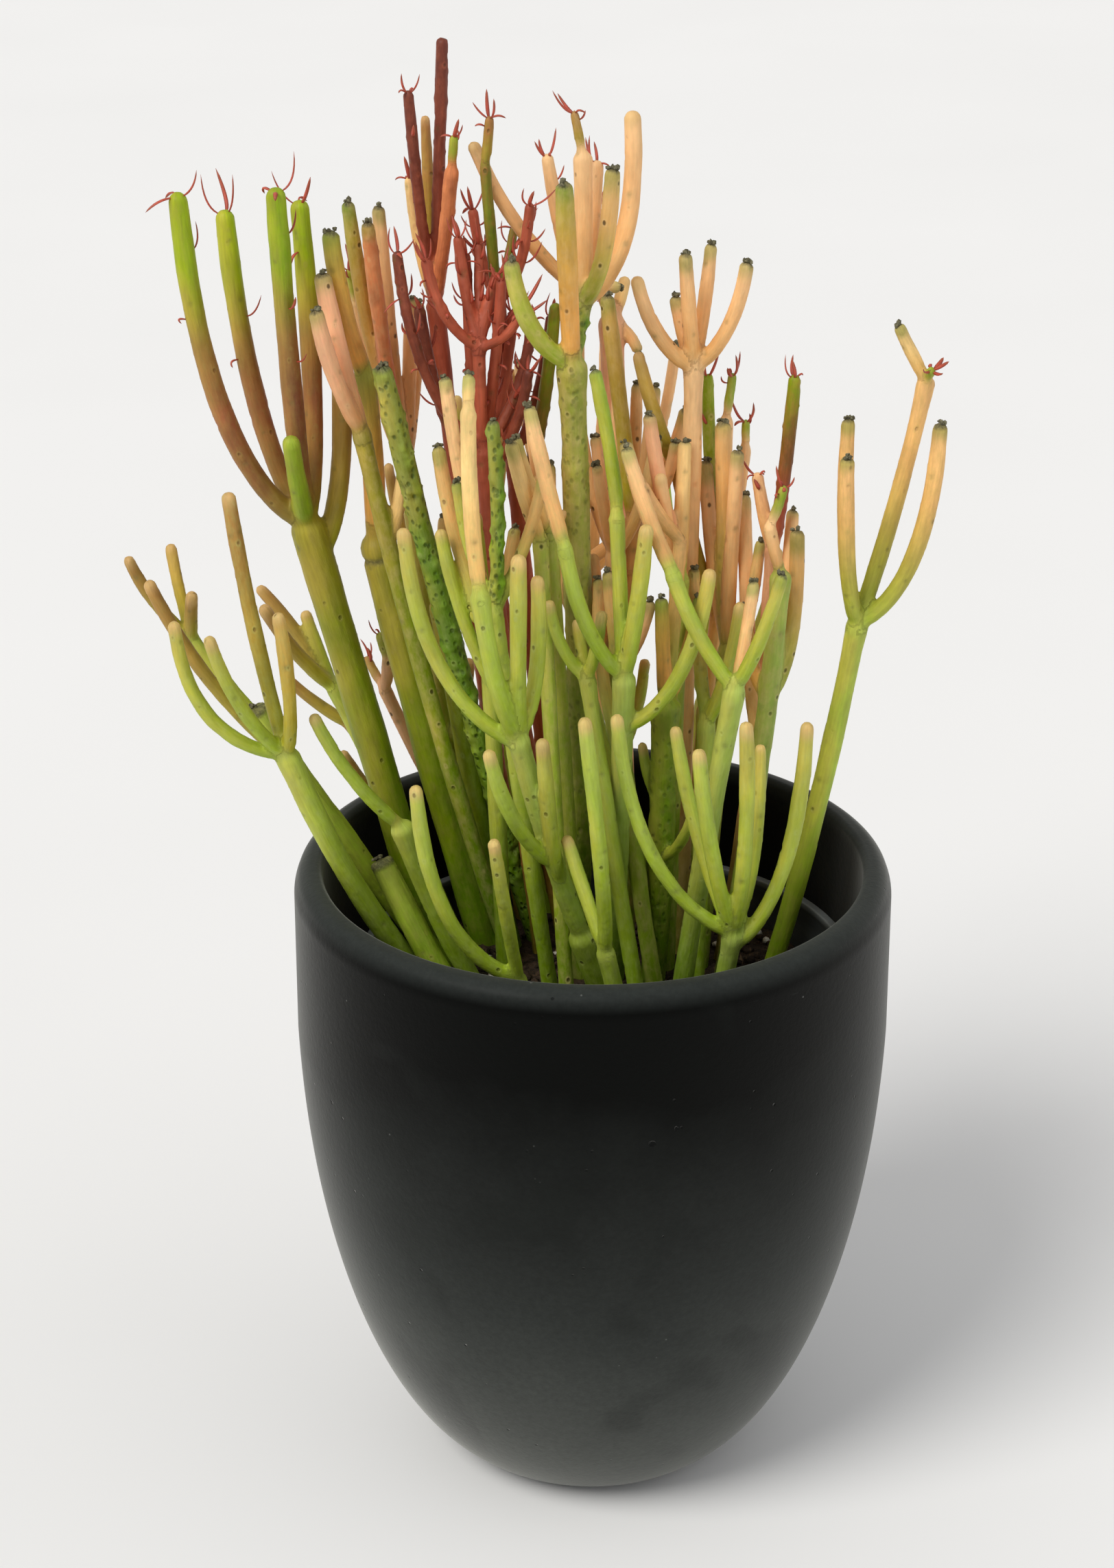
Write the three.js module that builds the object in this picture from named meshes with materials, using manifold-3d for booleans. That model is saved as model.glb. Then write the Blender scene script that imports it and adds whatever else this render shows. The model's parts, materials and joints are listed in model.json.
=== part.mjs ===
// A pencil euphorbia ("firesticks") growing in a plastic nursery pot that stands inside a
// matt black egg-shaped planter. Millimetres, +Z up, origin in the middle of the planter's
// flat base. Each rooted cutting is one grown piece; the planter, the nursery pot and the
// potting soil are the others.
import * as THREE from "three";
import { mergeVertices } from "three/addons/utils/BufferGeometryUtils.js";
import Module from "manifold-3d";

const wasm = await Module();
wasm.setup();

// ---------------------------------------------------------------- driving sizes

const PLANTER = {
  height: 244, // floor to the top of the lip
  radius: 110, // at the widest
  baseRadius: 46, // of the flat face it stands on
  wall: 11,
  floor: 26, // thickness of the cast bottom
  cornerWall: 9.6, // left outside the edge of the inner floor
  lipDrop: 5, // how far the rounded outer edge of the lip falls away
};
const POT = {
  offset: [5, -4], // it was dropped in a little off the middle
  play: 1, // between it and the planter, where they come nearest
  rimBelowLip: 38,
  wall: 1.8,
  bead: 1.6, // how far the rolled rim stands out
  drainHoles: 6,
  drainHoleRadius: 4.5,
  drainInset: 13.5, // from its bottom edge to the middle of a drain hole
};
const MIX = {
  belowRim: 18, // from the nursery pot's rim down to the soil
  mound: 3,
  bury: 10, // how deep the cuttings stand in it
};
const PLANT = {
  listedSoil: 188, // the soil level for which the cuttings' heights are listed
  listedMouth: 99, // the planter's inner radius for which their places are listed
  height: 1, // scale of everything above the soil
  pencil: 0.94, // scale of every thickness
};
const GAP = 0.3; // between pieces that touch
const ROUND = 48; // sides of the planter
const POT_ROUND = 36; // sides of the nursery pot and the soil

// ---------------------------------------------------------------- fitted sizes

const insideMouth = PLANTER.radius - PLANTER.wall;
const planterSide = PLANTER.height - PLANTER.lipDrop;

// The planter's outside below its lip, from the foot up: [radius, height] points.
function planterOutline() {
  const { radius, baseRadius } = PLANTER;
  const egg = new THREE.CubicBezierCurve(
    new THREE.Vector2(baseRadius + 4, 2),
    new THREE.Vector2(radius * 0.76, 20),
    new THREE.Vector2(radius * 0.985, planterSide * 0.4),
    new THREE.Vector2(radius, planterSide * 0.78),
  );
  return egg.getPoints(7).map(({ x, y }) => [x, y]);
}

// The radius of the planter's flat inner floor, which the nursery pot stands on.
function innerFloorRadius() {
  const outline = planterOutline();
  const above = outline.findIndex(([, z]) => z > PLANTER.floor);
  const [low, high] = [outline[above - 1], outline[above]];
  const share = (PLANTER.floor - low[1]) / (high[1] - low[1]);
  return low[0] + (high[0] - low[0]) * share - PLANTER.cornerWall;
}

// The nursery pot fills the planter's inside as far as standing off the middle lets it.
const aside = Math.hypot(...POT.offset) + POT.play;
const NURSERY_POT = {
  ...POT,
  topRadius: insideMouth - aside - POT.bead,
  bottomRadius: innerFloorRadius() - aside,
  rimHeight: PLANTER.height - POT.rimBelowLip,
};
const SOIL = { ...MIX, level: NURSERY_POT.rimHeight - MIX.belowRim };

// ---------------------------------------------------------------- colours

const COLOUR = {
  planter: 0x24292a,
  nurseryPot: 0x2c2e2f,
  soil: 0x3a3128,
  lime: 0x93a33a,
  olive: 0x8f9142,
  peach: 0xd9a868,
  red: 0xa5523e,
};

// ---------------------------------------------------------------- the cuttings

// A shoot ends at tip [across, back, up], measured from the middle of the base. It is
// `thick` across; bow 0 is straight and 1 curves out first and then up, like the arm of
// a candelabra. `at` is how far along its parent it starts, and lean moves its middle.
const shoot = (tip, thick, bow = 0.1, grows = [], more = {}) => ({
  tip,
  thick,
  bow,
  grows,
  at: 1,
  lean: [0, 0, 0],
  ...more,
});
const cutting = (name, colour, foot, ...grows) => ({ name, colour, foot, grows });
const lean = (...by) => ({ lean: by });

const CUTTINGS = [
  cutting("stem_left_tall", "olive", [-60, 38],
    shoot([-104, 30, 363], 13.5, 0, [
      shoot([-143, 12, 489], 8, 0.95),
      shoot([-131, 48, 474], 8, 0.75),
      shoot([-109, 6, 492], 8, 0.3),
      shoot([-104, 42, 479], 8, 0.6, [], lean(6, 0, -5)),
      shoot([-107, 8, 403], 7.5, 0.2),
      shoot([-91, 40, 416], 8, 0.9, [], { at: 0.93, lean: [3, 0, 0] }),
    ])),
  cutting("stem_left_low", "lime", [-52, 5],
    shoot([-108, -22, 295], 9, 0.15, [
      shoot([-145, -30, 349], 5.5, 1, [], lean(-1, 0, -3)),
      shoot([-132, -42, 348], 5.5, 0.45),
      shoot([-126, -15, 391], 6, 0.25),
      shoot([-108, -40, 356], 5.5, 0.4, [], lean(5, 0, -3)),
    ], lean(-3, 0, -3))),
  cutting("stem_left_stub", "olive", [-48, 26],
    shoot([-134, 8, 299], 9, 0.1, [
      shoot([-170, 0, 353], 5.5, 0.1, [], { at: 0.86, lean: [-4, 0, -6] }),
      shoot([-158, 22, 323], 5.5, 0.1, [
        shoot([-177, 14, 357], 5, 0.35),
        shoot([-164, 36, 354], 5),
        shoot([-154, 12, 344], 5.5),
      ], { at: 0.93 }),
    ], lean(-3, 0, -6))),
  cutting("stem_left_back", "olive", [-50, 50],
    shoot([-107, 70, 286], 6.5, 0.1, [
      shoot([-132, 60, 323], 6, 0.1, [], lean(-1, 0, -3)),
      shoot([-135, 84, 322], 5.5, 0.6, [], lean(8, 0, 8)),
      shoot([-119, 80, 313], 5.5, 0.2),
      shoot([-111, 88, 266], 5.5, 0.1, [shoot([-135, 88, 286], 5, 0.2)], { at: 0.55 }),
      shoot([-102, 50, 268], 5, 0.1, [], { at: 0.4 }),
    ])),
  cutting("stem_left_inner", "lime", [-38, 2],
    shoot([-71, -14, 262], 8.5, 0.1, [shoot([-101, -26, 311], 5.5, 0.3)], lean(-2, 0, -3))),
  cutting("stem_cut_stub", "olive", [-42, -14], shoot([-78, 4, 242], 10.5)),
  cutting("stem_bud_twig", "peach", [-27, 52],
    shoot([-78, 52, 290], 5.5, 0.05, [
      shoot([-76, 48, 303], 5, 0.6, [shoot([-79, 46, 315], 4.5)]),
      shoot([-85, 60, 300], 4, 0.2),
    ])),
  cutting("stem_thick_left", "olive", [-38, 44],
    shoot([-79, 36, 354], 13.5, 0.05, [
      shoot([-81, 30, 419], 8.5, 0.2, [shoot([-92, 22, 473], 7.5, 0.5)], lean(2, 0, 0)),
    ], lean(-1, 0, 0))),
  cutting("stem_pink_pair", "peach", [-27, 28],
    shoot([-82, 14, 403], 7, 0.05, [
      shoot([-96, 2, 451], 6.5, 0.35),
      shoot([-94, 18, 460], 7.5, 0.2),
      shoot([-66, 20, 398], 5.5, 0.4, [], { at: 0.82 }),
    ], lean(-3, 0, -5))),
  cutting("stem_warty", "lime", [-18, 46], shoot([-75, 2, 431], 8.5, 0.05, [], lean(-2, 0, -3))),
  cutting("stem_front_left", "lime", [-22, -30],
    shoot([-27, -42, 216], 6.5, 0, [
      shoot([-62, -58, 299], 6, 0.85, [], lean(-2, 0, -3)),
      shoot([-35, -66, 282], 5.5),
    ])),
  cutting("stem_front_centre", "lime", [10, -8],
    shoot([-7, -22, 224], 10.5, 0.1, [
      shoot([-29, -44, 311], 8, 0.15, [
        shoot([-67, -50, 390], 6, 0.75, [], { at: 0.97, lean: [-3, 0, -3] }),
        shoot([-41, -58, 369], 7, 0.5, [
          shoot([-44, -48, 430], 6, 0.1, [shoot([-43, -44, 442], 5)], lean(-2, 0, 0)),
        ]),
        shoot([-28, -60, 384], 6.5, 0.05),
        shoot([-22, -36, 368], 6, 0.7, [], lean(4, 0, -3)),
        shoot([-39, -62, 314], 6, 0.5, [], { at: 0.4 }),
        shoot([-19, -48, 313], 6, 0.6, [], { at: 0.3, lean: [2, 0, 0] }),
      ]),
    ])),
  cutting("stem_centre_tall", "peach", [-6, 22],
    shoot([-5, 6, 430], 10.5, 0, [
      shoot([-26, -4, 470], 7, 0.85),
      shoot([-8, -10, 498], 7.5, 0.05),
      shoot([-1, 18, 449], 6.5, 0.2, [
        shoot([-2, 26, 498], 7, 0.1, [shoot([-6, 25, 514], 4)]),
        shoot([8, 6, 499], 6.5, 0.9),
        shoot([15, 30, 513], 7, 1, [], lean(5, 0, -2)),
        shoot([3, 42, 493], 6, 0.4),
      ]),
      shoot([-17, 22, 390], 5.5, 0.4, [], { at: 0.6 }),
      shoot([-2, 34, 374], 6, 0.4, [], { at: 0.55 }),
    ], lean(6, 0, 0))),
  cutting("stem_centre_whorl", "lime", [8, 10],
    shoot([10, -24, 325], 8.5, 0.05, [
      shoot([-11, -34, 377], 6, 0.6, [shoot([-23, -26, 425], 6, 0.15)]),
      shoot([7, -22, 384], 6, 0.05, [shoot([-1, -16, 435], 5.5, 0.3, [], lean(5, 0, -7))]),
      shoot([17, -36, 386], 6.5, 0.3),
      shoot([39, -30, 367], 6, 0.75, [], { at: 0.86, lean: [0, 0, -5] }),
      shoot([4, 10, 351], 5, 0.5, [], { at: 0.75 }),
    ])),
  cutting("stem_green_left", "lime", [-14, 2],
    shoot([-35, -20, 349], 6.5, 0.05, [
      shoot([-35, -22, 419], 5.5, 0.1, [], lean(3, 0, 0)),
      shoot([-48, -12, 394], 5, 0.5),
      shoot([-18, -12, 396], 5, 0.4),
      shoot([-55, 8, 400], 6, 0.5, [], { at: 0.9 }),
      shoot([-54, -6, 374], 5.5, 0.5, [], { at: 0.78 }),
      shoot([-52, 2, 427], 5.5, 0.3, [], { at: 0.9 }),
    ])),
  cutting("stem_peach_front", "peach", [-8, -24],
    shoot([-18, -6, 370], 6, 0.05, [shoot([-28, -14, 409], 6, 0.15)])),
  cutting("stem_front_v", "lime", [16, -46],
    shoot([4, -54, 233], 7, 0.05, [
      shoot([-15, -38, 269], 5.5),
      shoot([-4, -74, 331], 6, 0.35, [], lean(5, 0, -8)),
    ])),
  cutting("stem_front_right", "lime", [42, -38],
    shoot([49, -52, 239], 7.5, 0, [
      shoot([7, -62, 327], 5.5, 0.75, [], lean(-2, 0, -4)),
      shoot([28, -34, 311], 5.5, 0.4),
      shoot([35, -66, 316], 6, 0.4),
      shoot([51, -66, 326], 6, 0.3, [], lean(4, 0, -3)),
      shoot([58, -36, 305], 5, 0.5, [], lean(4, 0, -5)),
      shoot([73, -52, 320], 6, 0.85, [], { at: 0.9, lean: [2, 0, -5] }),
    ])),
  cutting("stem_right_v", "lime", [30, -20],
    shoot([48, -34, 325], 8, 0.05, [
      shoot([26, -30, 367], 6, 0.3, [shoot([10, -22, 410], 6, 0.15)]),
      shoot([63, -42, 371], 5.5, 0.3),
      shoot([55, -14, 358], 5, 0.3),
    ], lean(-3, 0, -3))),
  cutting("stem_knotted", "olive", [22, 8],
    shoot([23, -12, 309], 10.5, 0, [
      shoot([21, -14, 351], 6),
      shoot([28, 2, 366], 5.5, 0.2, [shoot([10, 4, 398], 5.5, 0.2)]),
      shoot([35, 12, 342], 5.5, 0.6),
      shoot([15, -2, 290], 4.5, 0.5, [], { at: 0.66 }),
      shoot([36, -30, 285], 4.5, 0.6, [], { at: 0.5 }),
      shoot([-12, 22, 338], 5.5, 0.4, [], { at: 0.4 }),
    ])),
  cutting("stem_right_tall", "olive", [62, 2],
    shoot([93, -8, 339], 8, 0.05, [
      shoot([89, 12, 409], 6, 0.75, [], lean(-3, 0, 0)),
      shoot([86, -22, 406], 6.5, 0.5, [], lean(-2, 0, -3)),
      shoot([115, 6, 424], 6.5, 0.2, [shoot([104, 4, 445], 5), shoot([116, 0, 430], 4)]),
      shoot([118, -16, 416], 6.5, 0.9, [], lean(2, 0, -2)),
    ], lean(3, 0, -3))),
  cutting("stem_right_pair", "peach", [48, 12],
    shoot([66, -2, 355], 8, 0.05, [
      shoot([61, -6, 375], 5, 0.1, [shoot([66, -6, 390], 4, 0.3)]),
      shoot([72, 8, 369], 6.5, 0.6, [], { at: 0.73, lean: [4, 0, -3] }),
      shoot([69, 22, 372], 5.5, 0.3, [], { at: 0.8 }),
      shoot([54, 10, 340], 5.5, 0.8, [], { at: 0.73 }),
      shoot([54, 26, 376], 6, 0.4, [], { at: 0.6 }),
    ], lean(4, 0, 0))),
  cutting("stem_right_slender", "red", [48, 28],
    shoot([59, 14, 359], 6, 0.05, [
      shoot([65, 10, 425], 5.5, 0.35),
      shoot([53, 20, 386], 5.5, 0.3),
    ], lean(3, 0, 0))),
  cutting("stem_right_mid", "peach", [32, 50],
    shoot([46, 36, 325], 6.5, 0.05, [
      shoot([31, 30, 382], 5.5, 0.25, [shoot([15, 24, 428], 5.5, 0.3)]),
      shoot([46, 36, 400], 5.5, 0.1, [shoot([48, 34, 418], 4)]),
      shoot([55, 44, 387], 5, 0.3, [shoot([55, 44, 398], 4)]),
      shoot([41, 48, 414], 5, 0.3),
    ])),
  cutting("stem_right_whorl", "peach", [34, 32],
    shoot([33, 30, 422], 7.5, 0.05, [
      shoot([12, 20, 458], 6, 0.7, [], lean(1, 0, 0)),
      shoot([26, 36, 447], 5.5, 0.2),
      shoot([29, 22, 466], 6),
      shoot([39, 40, 465], 5.5, 0.3),
      shoot([51, 26, 462], 6, 0.75),
      shoot([45, 46, 431], 5, 0.5),
    ])),
  cutting("stem_peach_centre", "peach", [8, 52],
    shoot([16, 36, 362], 7, 0.05, [
      shoot([5, 48, 443], 6.5),
      shoot([23, 30, 405], 5, 0.4),
      shoot([34, 28, 396], 5, 0.7),
      shoot([17, 52, 409], 5, 0.15),
      shoot([2, 58, 387], 5, 0.4, [], { at: 0.85 }),
      shoot([24, 62, 405], 5.5, 0.4, [], { at: 0.9 }),
    ])),
  cutting("stem_centre_back", "peach", [-4, 66],
    shoot([-7, 58, 443], 7.5, 0.05, [
      shoot([-43, 48, 497], 5.5, 0.35),
      shoot([-17, 60, 491], 5.5, 0.2),
      shoot([1, 70, 469], 5, 0.3),
      shoot([10, 64, 441], 5.5, 0.7),
      shoot([34, 66, 396], 5.5, 0.7, [], { at: 0.6 }),
    ])),
  cutting("stem_red_front", "red", [-18, 34],
    shoot([-41, 34, 390], 7, 0.05, [
      shoot([-70, 26, 465], 4.5, 0.8),
      shoot([-42, 34, 428], 5, 0.05, [
        shoot([-60, 28, 462], 4.5, 0.75),
        shoot([-26, 26, 446], 4, 0.85),
        shoot([-34, 42, 453], 4.5, 0.2),
        shoot([-49, 44, 466], 4.5, 0.4),
        shoot([-41, 50, 462], 4, 0.3),
      ]),
      shoot([-23, 42, 436], 4.5, 0.7),
    ], lean(-3, 0, 0))),
  cutting("stem_red_tall", "red", [-26, 68],
    shoot([-57, 62, 436], 7, 0.05, [
      shoot([-53, 58, 532], 5),
      shoot([-65, 52, 515], 4.5, 0.35),
      shoot([-60, 72, 502], 4.5, 0.25),
      shoot([-50, 46, 488], 5.5, 0.2, [shoot([-49, 45, 501], 4)]),
      shoot([-66, 68, 481], 5, 0.4),
    ], lean(-3, 0, 0))),
  cutting("stem_red_centre", "red", [-10, 56],
    shoot([-34, 52, 439], 6.5, 0.05, [
      shoot([-39, 48, 490], 4.5, 0.3, [shoot([-37, 46, 508], 4, 0.2)]),
      shoot([-22, 44, 477], 4.5, 0.8),
      shoot([-43, 66, 470], 4.5, 0.5),
      shoot([-28, 66, 463], 4, 0.3),
      shoot([-13, 58, 437], 5.5, 0.45, [], { at: 0.7 }),
      shoot([-15, 68, 430], 4, 0.6, [], { at: 0.78 }),
    ])),
  cutting("stem_peach_left", "peach", [-38, 58],
    shoot([-69, 62, 374], 7, 0.05, [
      shoot([-87, 52, 476], 6, 0.35),
      shoot([-77, 60, 473], 6, 0.2),
      shoot([-66, 74, 435], 6),
      shoot([-80, 44, 471], 6, 0.25),
      shoot([-86, 68, 434], 5, 0.3, [shoot([-88, 66, 448], 4)]),
      shoot([-75, 64, 437], 6, 0.15),
      shoot([-64, 84, 431], 6, 0.4),
      shoot([-46, 50, 303], 6, 0.5, [], { at: 0.45 }),
    ], lean(-2, 0, 0))),
  cutting("stem_mid_left", "lime", [-32, 15],
    shoot([-38, 12, 330], 7, 0.05, [
      shoot([-42, 12, 374], 5.5, 0.2),
      shoot([-28, 20, 366], 5.5, 0.5),
      shoot([-56, 24, 360], 5.5, 0.7),
    ])),
  cutting("stem_mid_right", "lime", [38, -5],
    shoot([41, 4, 296], 7, 0.05, [
      shoot([52, -2, 345], 5.5, 0.5),
      shoot([36, 14, 352], 5.5, 0.3),
      shoot([64, 22, 360], 5, 0.7),
      shoot([37, 30, 293], 5, 0.6, [], { at: 0.55 }),
    ])),
  cutting("stem_mid_back", "peach", [14, 30],
    shoot([8, 34, 350], 7.5, 0.05, [
      shoot([-6, 38, 402], 5.5, 0.5),
      shoot([11, 46, 412], 5.5, 0.3),
      shoot([22, 26, 398], 5.5, 0.5),
      shoot([1, 24, 388], 5, 0.3),
      shoot([18, 46, 305], 5, 0.5, [], { at: 0.55 }),
    ])),
  cutting("stem_lean_peach", "peach", [-4, 10],
    shoot([-16, 0, 371], 6.5, 0.05, [
      shoot([-28, -8, 408], 5.5, 0.3),
      shoot([-23, 2, 417], 5.5, 0.2),
      shoot([-16, 10, 393], 5.5, 0.3),
      shoot([-10, 4, 378], 4.5, 0.5),
    ])),
  cutting("stem_right_peaches", "peach", [28, 20],
    shoot([31, 10, 350], 7.5, 0.05, [
      shoot([11, 2, 402], 6, 0.35),
      shoot([20, 12, 410], 6, 0.2),
      shoot([33, 20, 398], 6, 0.15),
      shoot([17, 26, 384], 5.5, 0.4),
      shoot([24, -2, 390], 5.5, 0.3),
    ])),
  cutting("stem_right_column", "peach", [40, 20],
    shoot([49, 26, 316], 7.5, 0.05, [
      shoot([46, 30, 402], 7, 0.1),
      shoot([52, 20, 395], 6, 0.25),
      shoot([42, 40, 385], 6, 0.3),
    ])),
  cutting("stem_salmon_back", "peach", [14, 62],
    shoot([7, 68, 427], 10, 0.05, [
      shoot([2, 62, 448], 5, 0.4),
      shoot([12, 74, 442], 5.5, 0.4),
      shoot([17, 66, 415], 5, 0.6),
    ])),
  cutting("stem_low_peach", "peach", [26, -6],
    shoot([9, 6, 314], 7, 0.05, [
      shoot([4, 0, 357], 5.5, 0.3),
      shoot([10, 12, 366], 5.5, 0.15),
      shoot([1, 20, 356], 5, 0.4),
      shoot([22, 8, 343], 5.5, 0.5),
    ])),
  cutting("stem_left_mass", "lime", [-28, 38],
    shoot([-51, 28, 333], 8.5, 0.05, [
      shoot([-56, 30, 362], 5.5, 0.35),
      shoot([-50, 36, 364], 5.5, 0.15),
      shoot([-42, 24, 356], 5.5, 0.4),
    ])),
  cutting("stem_red_low", "red", [-8, 38],
    shoot([-41, 40, 375], 6.5, 0.05, [
      shoot([-44, 46, 459], 4.5, 0.35),
      shoot([-35, 36, 453], 4.5, 0.25),
      shoot([-23, 30, 421], 4.5, 0.6),
      shoot([-62, 38, 442], 5, 0.6),
      shoot([-29, 50, 437], 4.5, 0.4),
    ])),
  cutting("stem_low_v", "lime", [20, -28],
    shoot([-1, -14, 321], 6.5, 0.05, [
      shoot([-15, -12, 350], 5, 0.7),
      shoot([4, -20, 349], 5, 0.3),
      shoot([-5, -4, 340], 5, 0.3),
    ])),
  cutting("stem_back_left", "olive", [-15, 72],
    shoot([-46, 98, 296], 7, 0.05, [
      shoot([-78, 104, 362], 5, 0.8),
      shoot([-52, 120, 384], 5, 0.5),
      shoot([-30, 108, 398], 5, 0.3),
    ])),
  cutting("stem_back_mid", "peach", [6, 74],
    shoot([0, 100, 318], 7, 0.05, [
      shoot([-28, 104, 402], 5, 0.8),
      shoot([6, 122, 420], 5, 0.4),
      shoot([32, 108, 408], 5, 0.7),
    ])),
  cutting("stem_back_right", "lime", [24, 68],
    shoot([44, 88, 270], 7, 0.05, [
      shoot([72, 96, 330], 5, 0.8),
      shoot([48, 112, 366], 5, 0.4),
      shoot([26, 98, 372], 5, 0.4),
    ])),
];

// ---------------------------------------------------------------- growing the cuttings

const STEPS = 6; // straight steps that stand for one shoot while room is made

// How much wider the planter's mouth is than the one the cuttings are listed for.
const spread = insideMouth / PLANT.listedMouth;

// Left between shoots of different cuttings: thicker shoots swell more at their joints.
const ROOM = 0.745 * PLANT.pencil * spread;

// A listed place in the present sizes: the plant spreads with the mouth and rises with the soil.
function placed([across, back, up]) {
  const rise = (up - PLANT.listedSoil) * PLANT.height;
  return new THREE.Vector3(across * spread, back * spread, SOIL.level + rise);
}

// The same place, drawn in where it would stand too near the nursery pot's wall.
function inPot(place) {
  const CLEAR = 9;
  const [cx, cy] = NURSERY_POT.offset;
  const away = Math.hypot(place.x - cx, place.y - cy);
  const most = potInside(place.z) - CLEAR * spread;
  const share = Math.min(1, most / Math.max(away, 1));
  return new THREE.Vector3(cx + (place.x - cx) * share, cy + (place.y - cy) * share, place.z);
}

// The curve of a shoot from its start: out first and then up, the more so the more it bows.
function shootCurve(start, { tip, bow, lean: [across, back, up] }) {
  const end = placed(tip);
  const out = 0.5 + 0.4 * bow;
  const rise = 0.5 - 0.3 * bow;
  const middle = new THREE.Vector3(
    start.x + (end.x - start.x) * out + across,
    start.y + (end.y - start.y) * out + back,
    start.z + (end.z - start.z) * rise + up,
  );
  return new THREE.QuadraticBezierCurve3(start, middle, end);
}

// Lists the limbs of every cutting, each with its parent's index and its points at rest.
function growLimbs() {
  const limbs = [];
  const grow = (stem, parent, start, listed) => {
    const curve = shootCurve(start, listed);
    const index = limbs.length;
    limbs.push({
      stem,
      parent,
      at: listed.at,
      radius: (listed.thick * PLANT.pencil * spread) / 2,
      bearing: listed.grows.length > 0,
      rest: curve.getPoints(STEPS),
    });
    for (const next of listed.grows) grow(stem, index, curve.getPoint(next.at), next);
  };
  CUTTINGS.forEach(({ foot: [across, back], grows }, stem) => {
    const foot = inPot(placed([across, back, PLANT.listedSoil - SOIL.bury]));
    for (const listed of grows) grow(stem, -1, foot, listed);
  });
  for (const limb of limbs) limb.points = limb.rest.map((p) => p.clone());
  return limbs;
}

// The shares s and t of two segments at which they come nearest.
function nearest(p, u, q, v) {
  const w = p.clone().sub(q);
  const a = u.dot(u);
  const b = u.dot(v);
  const c = v.dot(v);
  const d = u.dot(w);
  const e = v.dot(w);
  const slant = a * c - b * b;
  const clip = (x) => Math.min(1, Math.max(0, x));
  let s = slant > 1e-9 ? clip((b * e - c * d) / slant) : 0.5;
  const t = clip((b * s + e) / c);
  s = clip((b * t - d) / a);
  return [s, t];
}

// Pairs of segments that could touch: [limb, step, limb, step, the distance to keep].
function closePairs(limbs) {
  const pairs = [];
  const REACH = 16;
  const OPEN_FROM = 3; // shoots of one cutting share a joint, so only their outer steps count
  limbs.forEach((one, i) => {
    limbs.slice(i + 1).forEach((two, more) => {
      const j = i + 1 + more;
      const kin = one.stem === two.stem;
      if (kin && (two.parent === i || one.parent === j)) return;
      const keep = one.radius + two.radius + ROOM;
      for (let a = kin ? OPEN_FROM : 0; a < STEPS; a++)
        for (let b = kin ? OPEN_FROM : 0; b < STEPS; b++) {
          const u = one.rest[a + 1].clone().sub(one.rest[a]);
          const v = two.rest[b + 1].clone().sub(two.rest[b]);
          const [s, t] = nearest(one.rest[a], u, two.rest[b], v);
          const p = one.rest[a].clone().addScaledVector(u, s);
          const q = two.rest[b].clone().addScaledVector(v, t);
          if (p.distanceTo(q) < keep + REACH) pairs.push([i, a, j, b, keep]);
        }
    });
  });
  return pairs;
}

// Bends the shoots gently apart until none touches another cutting or the planter's lip.
function makeRoom(limbs) {
  const ROUNDS = 260;
  const SMOOTHING = 0.5;
  const PUSH = 0.45;
  const pairs = closePairs(limbs);
  for (let round = 0; round < ROUNDS; round++) {
    const moves = limbs.map(() => Array.from({ length: STEPS + 1 }, () => new THREE.Vector3()));
    for (const [i, a, j, b, keep] of pairs) {
      const one = limbs[i].points;
      const two = limbs[j].points;
      const u = one[a + 1].clone().sub(one[a]);
      const v = two[b + 1].clone().sub(two[b]);
      const [s, t] = nearest(one[a], u, two[b], v);
      const apart = one[a].clone().addScaledVector(u, s).sub(two[b]).addScaledVector(v, -t);
      const distance = apart.length();
      if (distance >= keep) continue;
      apart.multiplyScalar((PUSH * (keep - distance)) / Math.max(distance, 0.01));
      moves[i][a].addScaledVector(apart, 1 - s);
      moves[i][a + 1].addScaledVector(apart, s);
      moves[j][b].addScaledVector(apart, t - 1);
      moves[j][b + 1].addScaledVector(apart, -t);
    }
    limbs.forEach((limb, i) => {
      keepInside(limb, moves[i]);
      settle(limbs, limb, moves[i], SMOOTHING);
    });
  }
}

// Adds the moves that keep each step of a limb inside the two mouths.
function keepInside(limb, moves) {
  const SHARES = [0.25, 0.5, 0.75, 1];
  for (let k = 0; k < STEPS; k++)
    for (const share of SHARES)
      for (const mouth of MOUTHS) {
        const place = limb.points[k].clone().lerp(limb.points[k + 1], share);
        const move = insideLip(limb, place, mouth);
        moves[k].addScaledVector(move, 1 - share);
        moves[k + 1].addScaledVector(move, share);
      }
}

// Moves one limb's points, keeps its start on its parent and spreads the bend evenly.
function settle(limbs, limb, moves, smoothing) {
  const shift = limb.points.map((p, k) => p.clone().add(moves[k]).sub(limb.rest[k]));
  shift[0].copy(limb.parent < 0 ? new THREE.Vector3() : carried(limbs[limb.parent], limb.at));
  const even = shift.map((s, k) => {
    if (k === 0) return s.clone();
    const beyond = shift[Math.min(k + 1, STEPS)];
    const middle = shift[k - 1].clone().add(beyond).multiplyScalar(0.5);
    return s.clone().lerp(middle, smoothing);
  });
  limb.points.forEach((p, k) => p.copy(limb.rest[k]).add(even[k]));
}

// How far a limb has been moved at a share of its length.
function carried(limb, at) {
  const place = Math.min(at * STEPS, STEPS - 1e-9);
  const k = Math.floor(place);
  const before = limb.points[k].clone().sub(limb.rest[k]);
  const after = limb.points[k + 1].clone().sub(limb.rest[k + 1]);
  return before.lerp(after, place - k);
}

// The two mouths that every cutting grows out through.
const MOUTHS = [
  { centre: [0, 0], inner: insideMouth, outer: PLANTER.radius, top: PLANTER.height },
  {
    centre: NURSERY_POT.offset,
    inner: NURSERY_POT.topRadius - NURSERY_POT.wall,
    outer: NURSERY_POT.topRadius + NURSERY_POT.bead,
    top: NURSERY_POT.rimHeight,
  },
];

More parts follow.
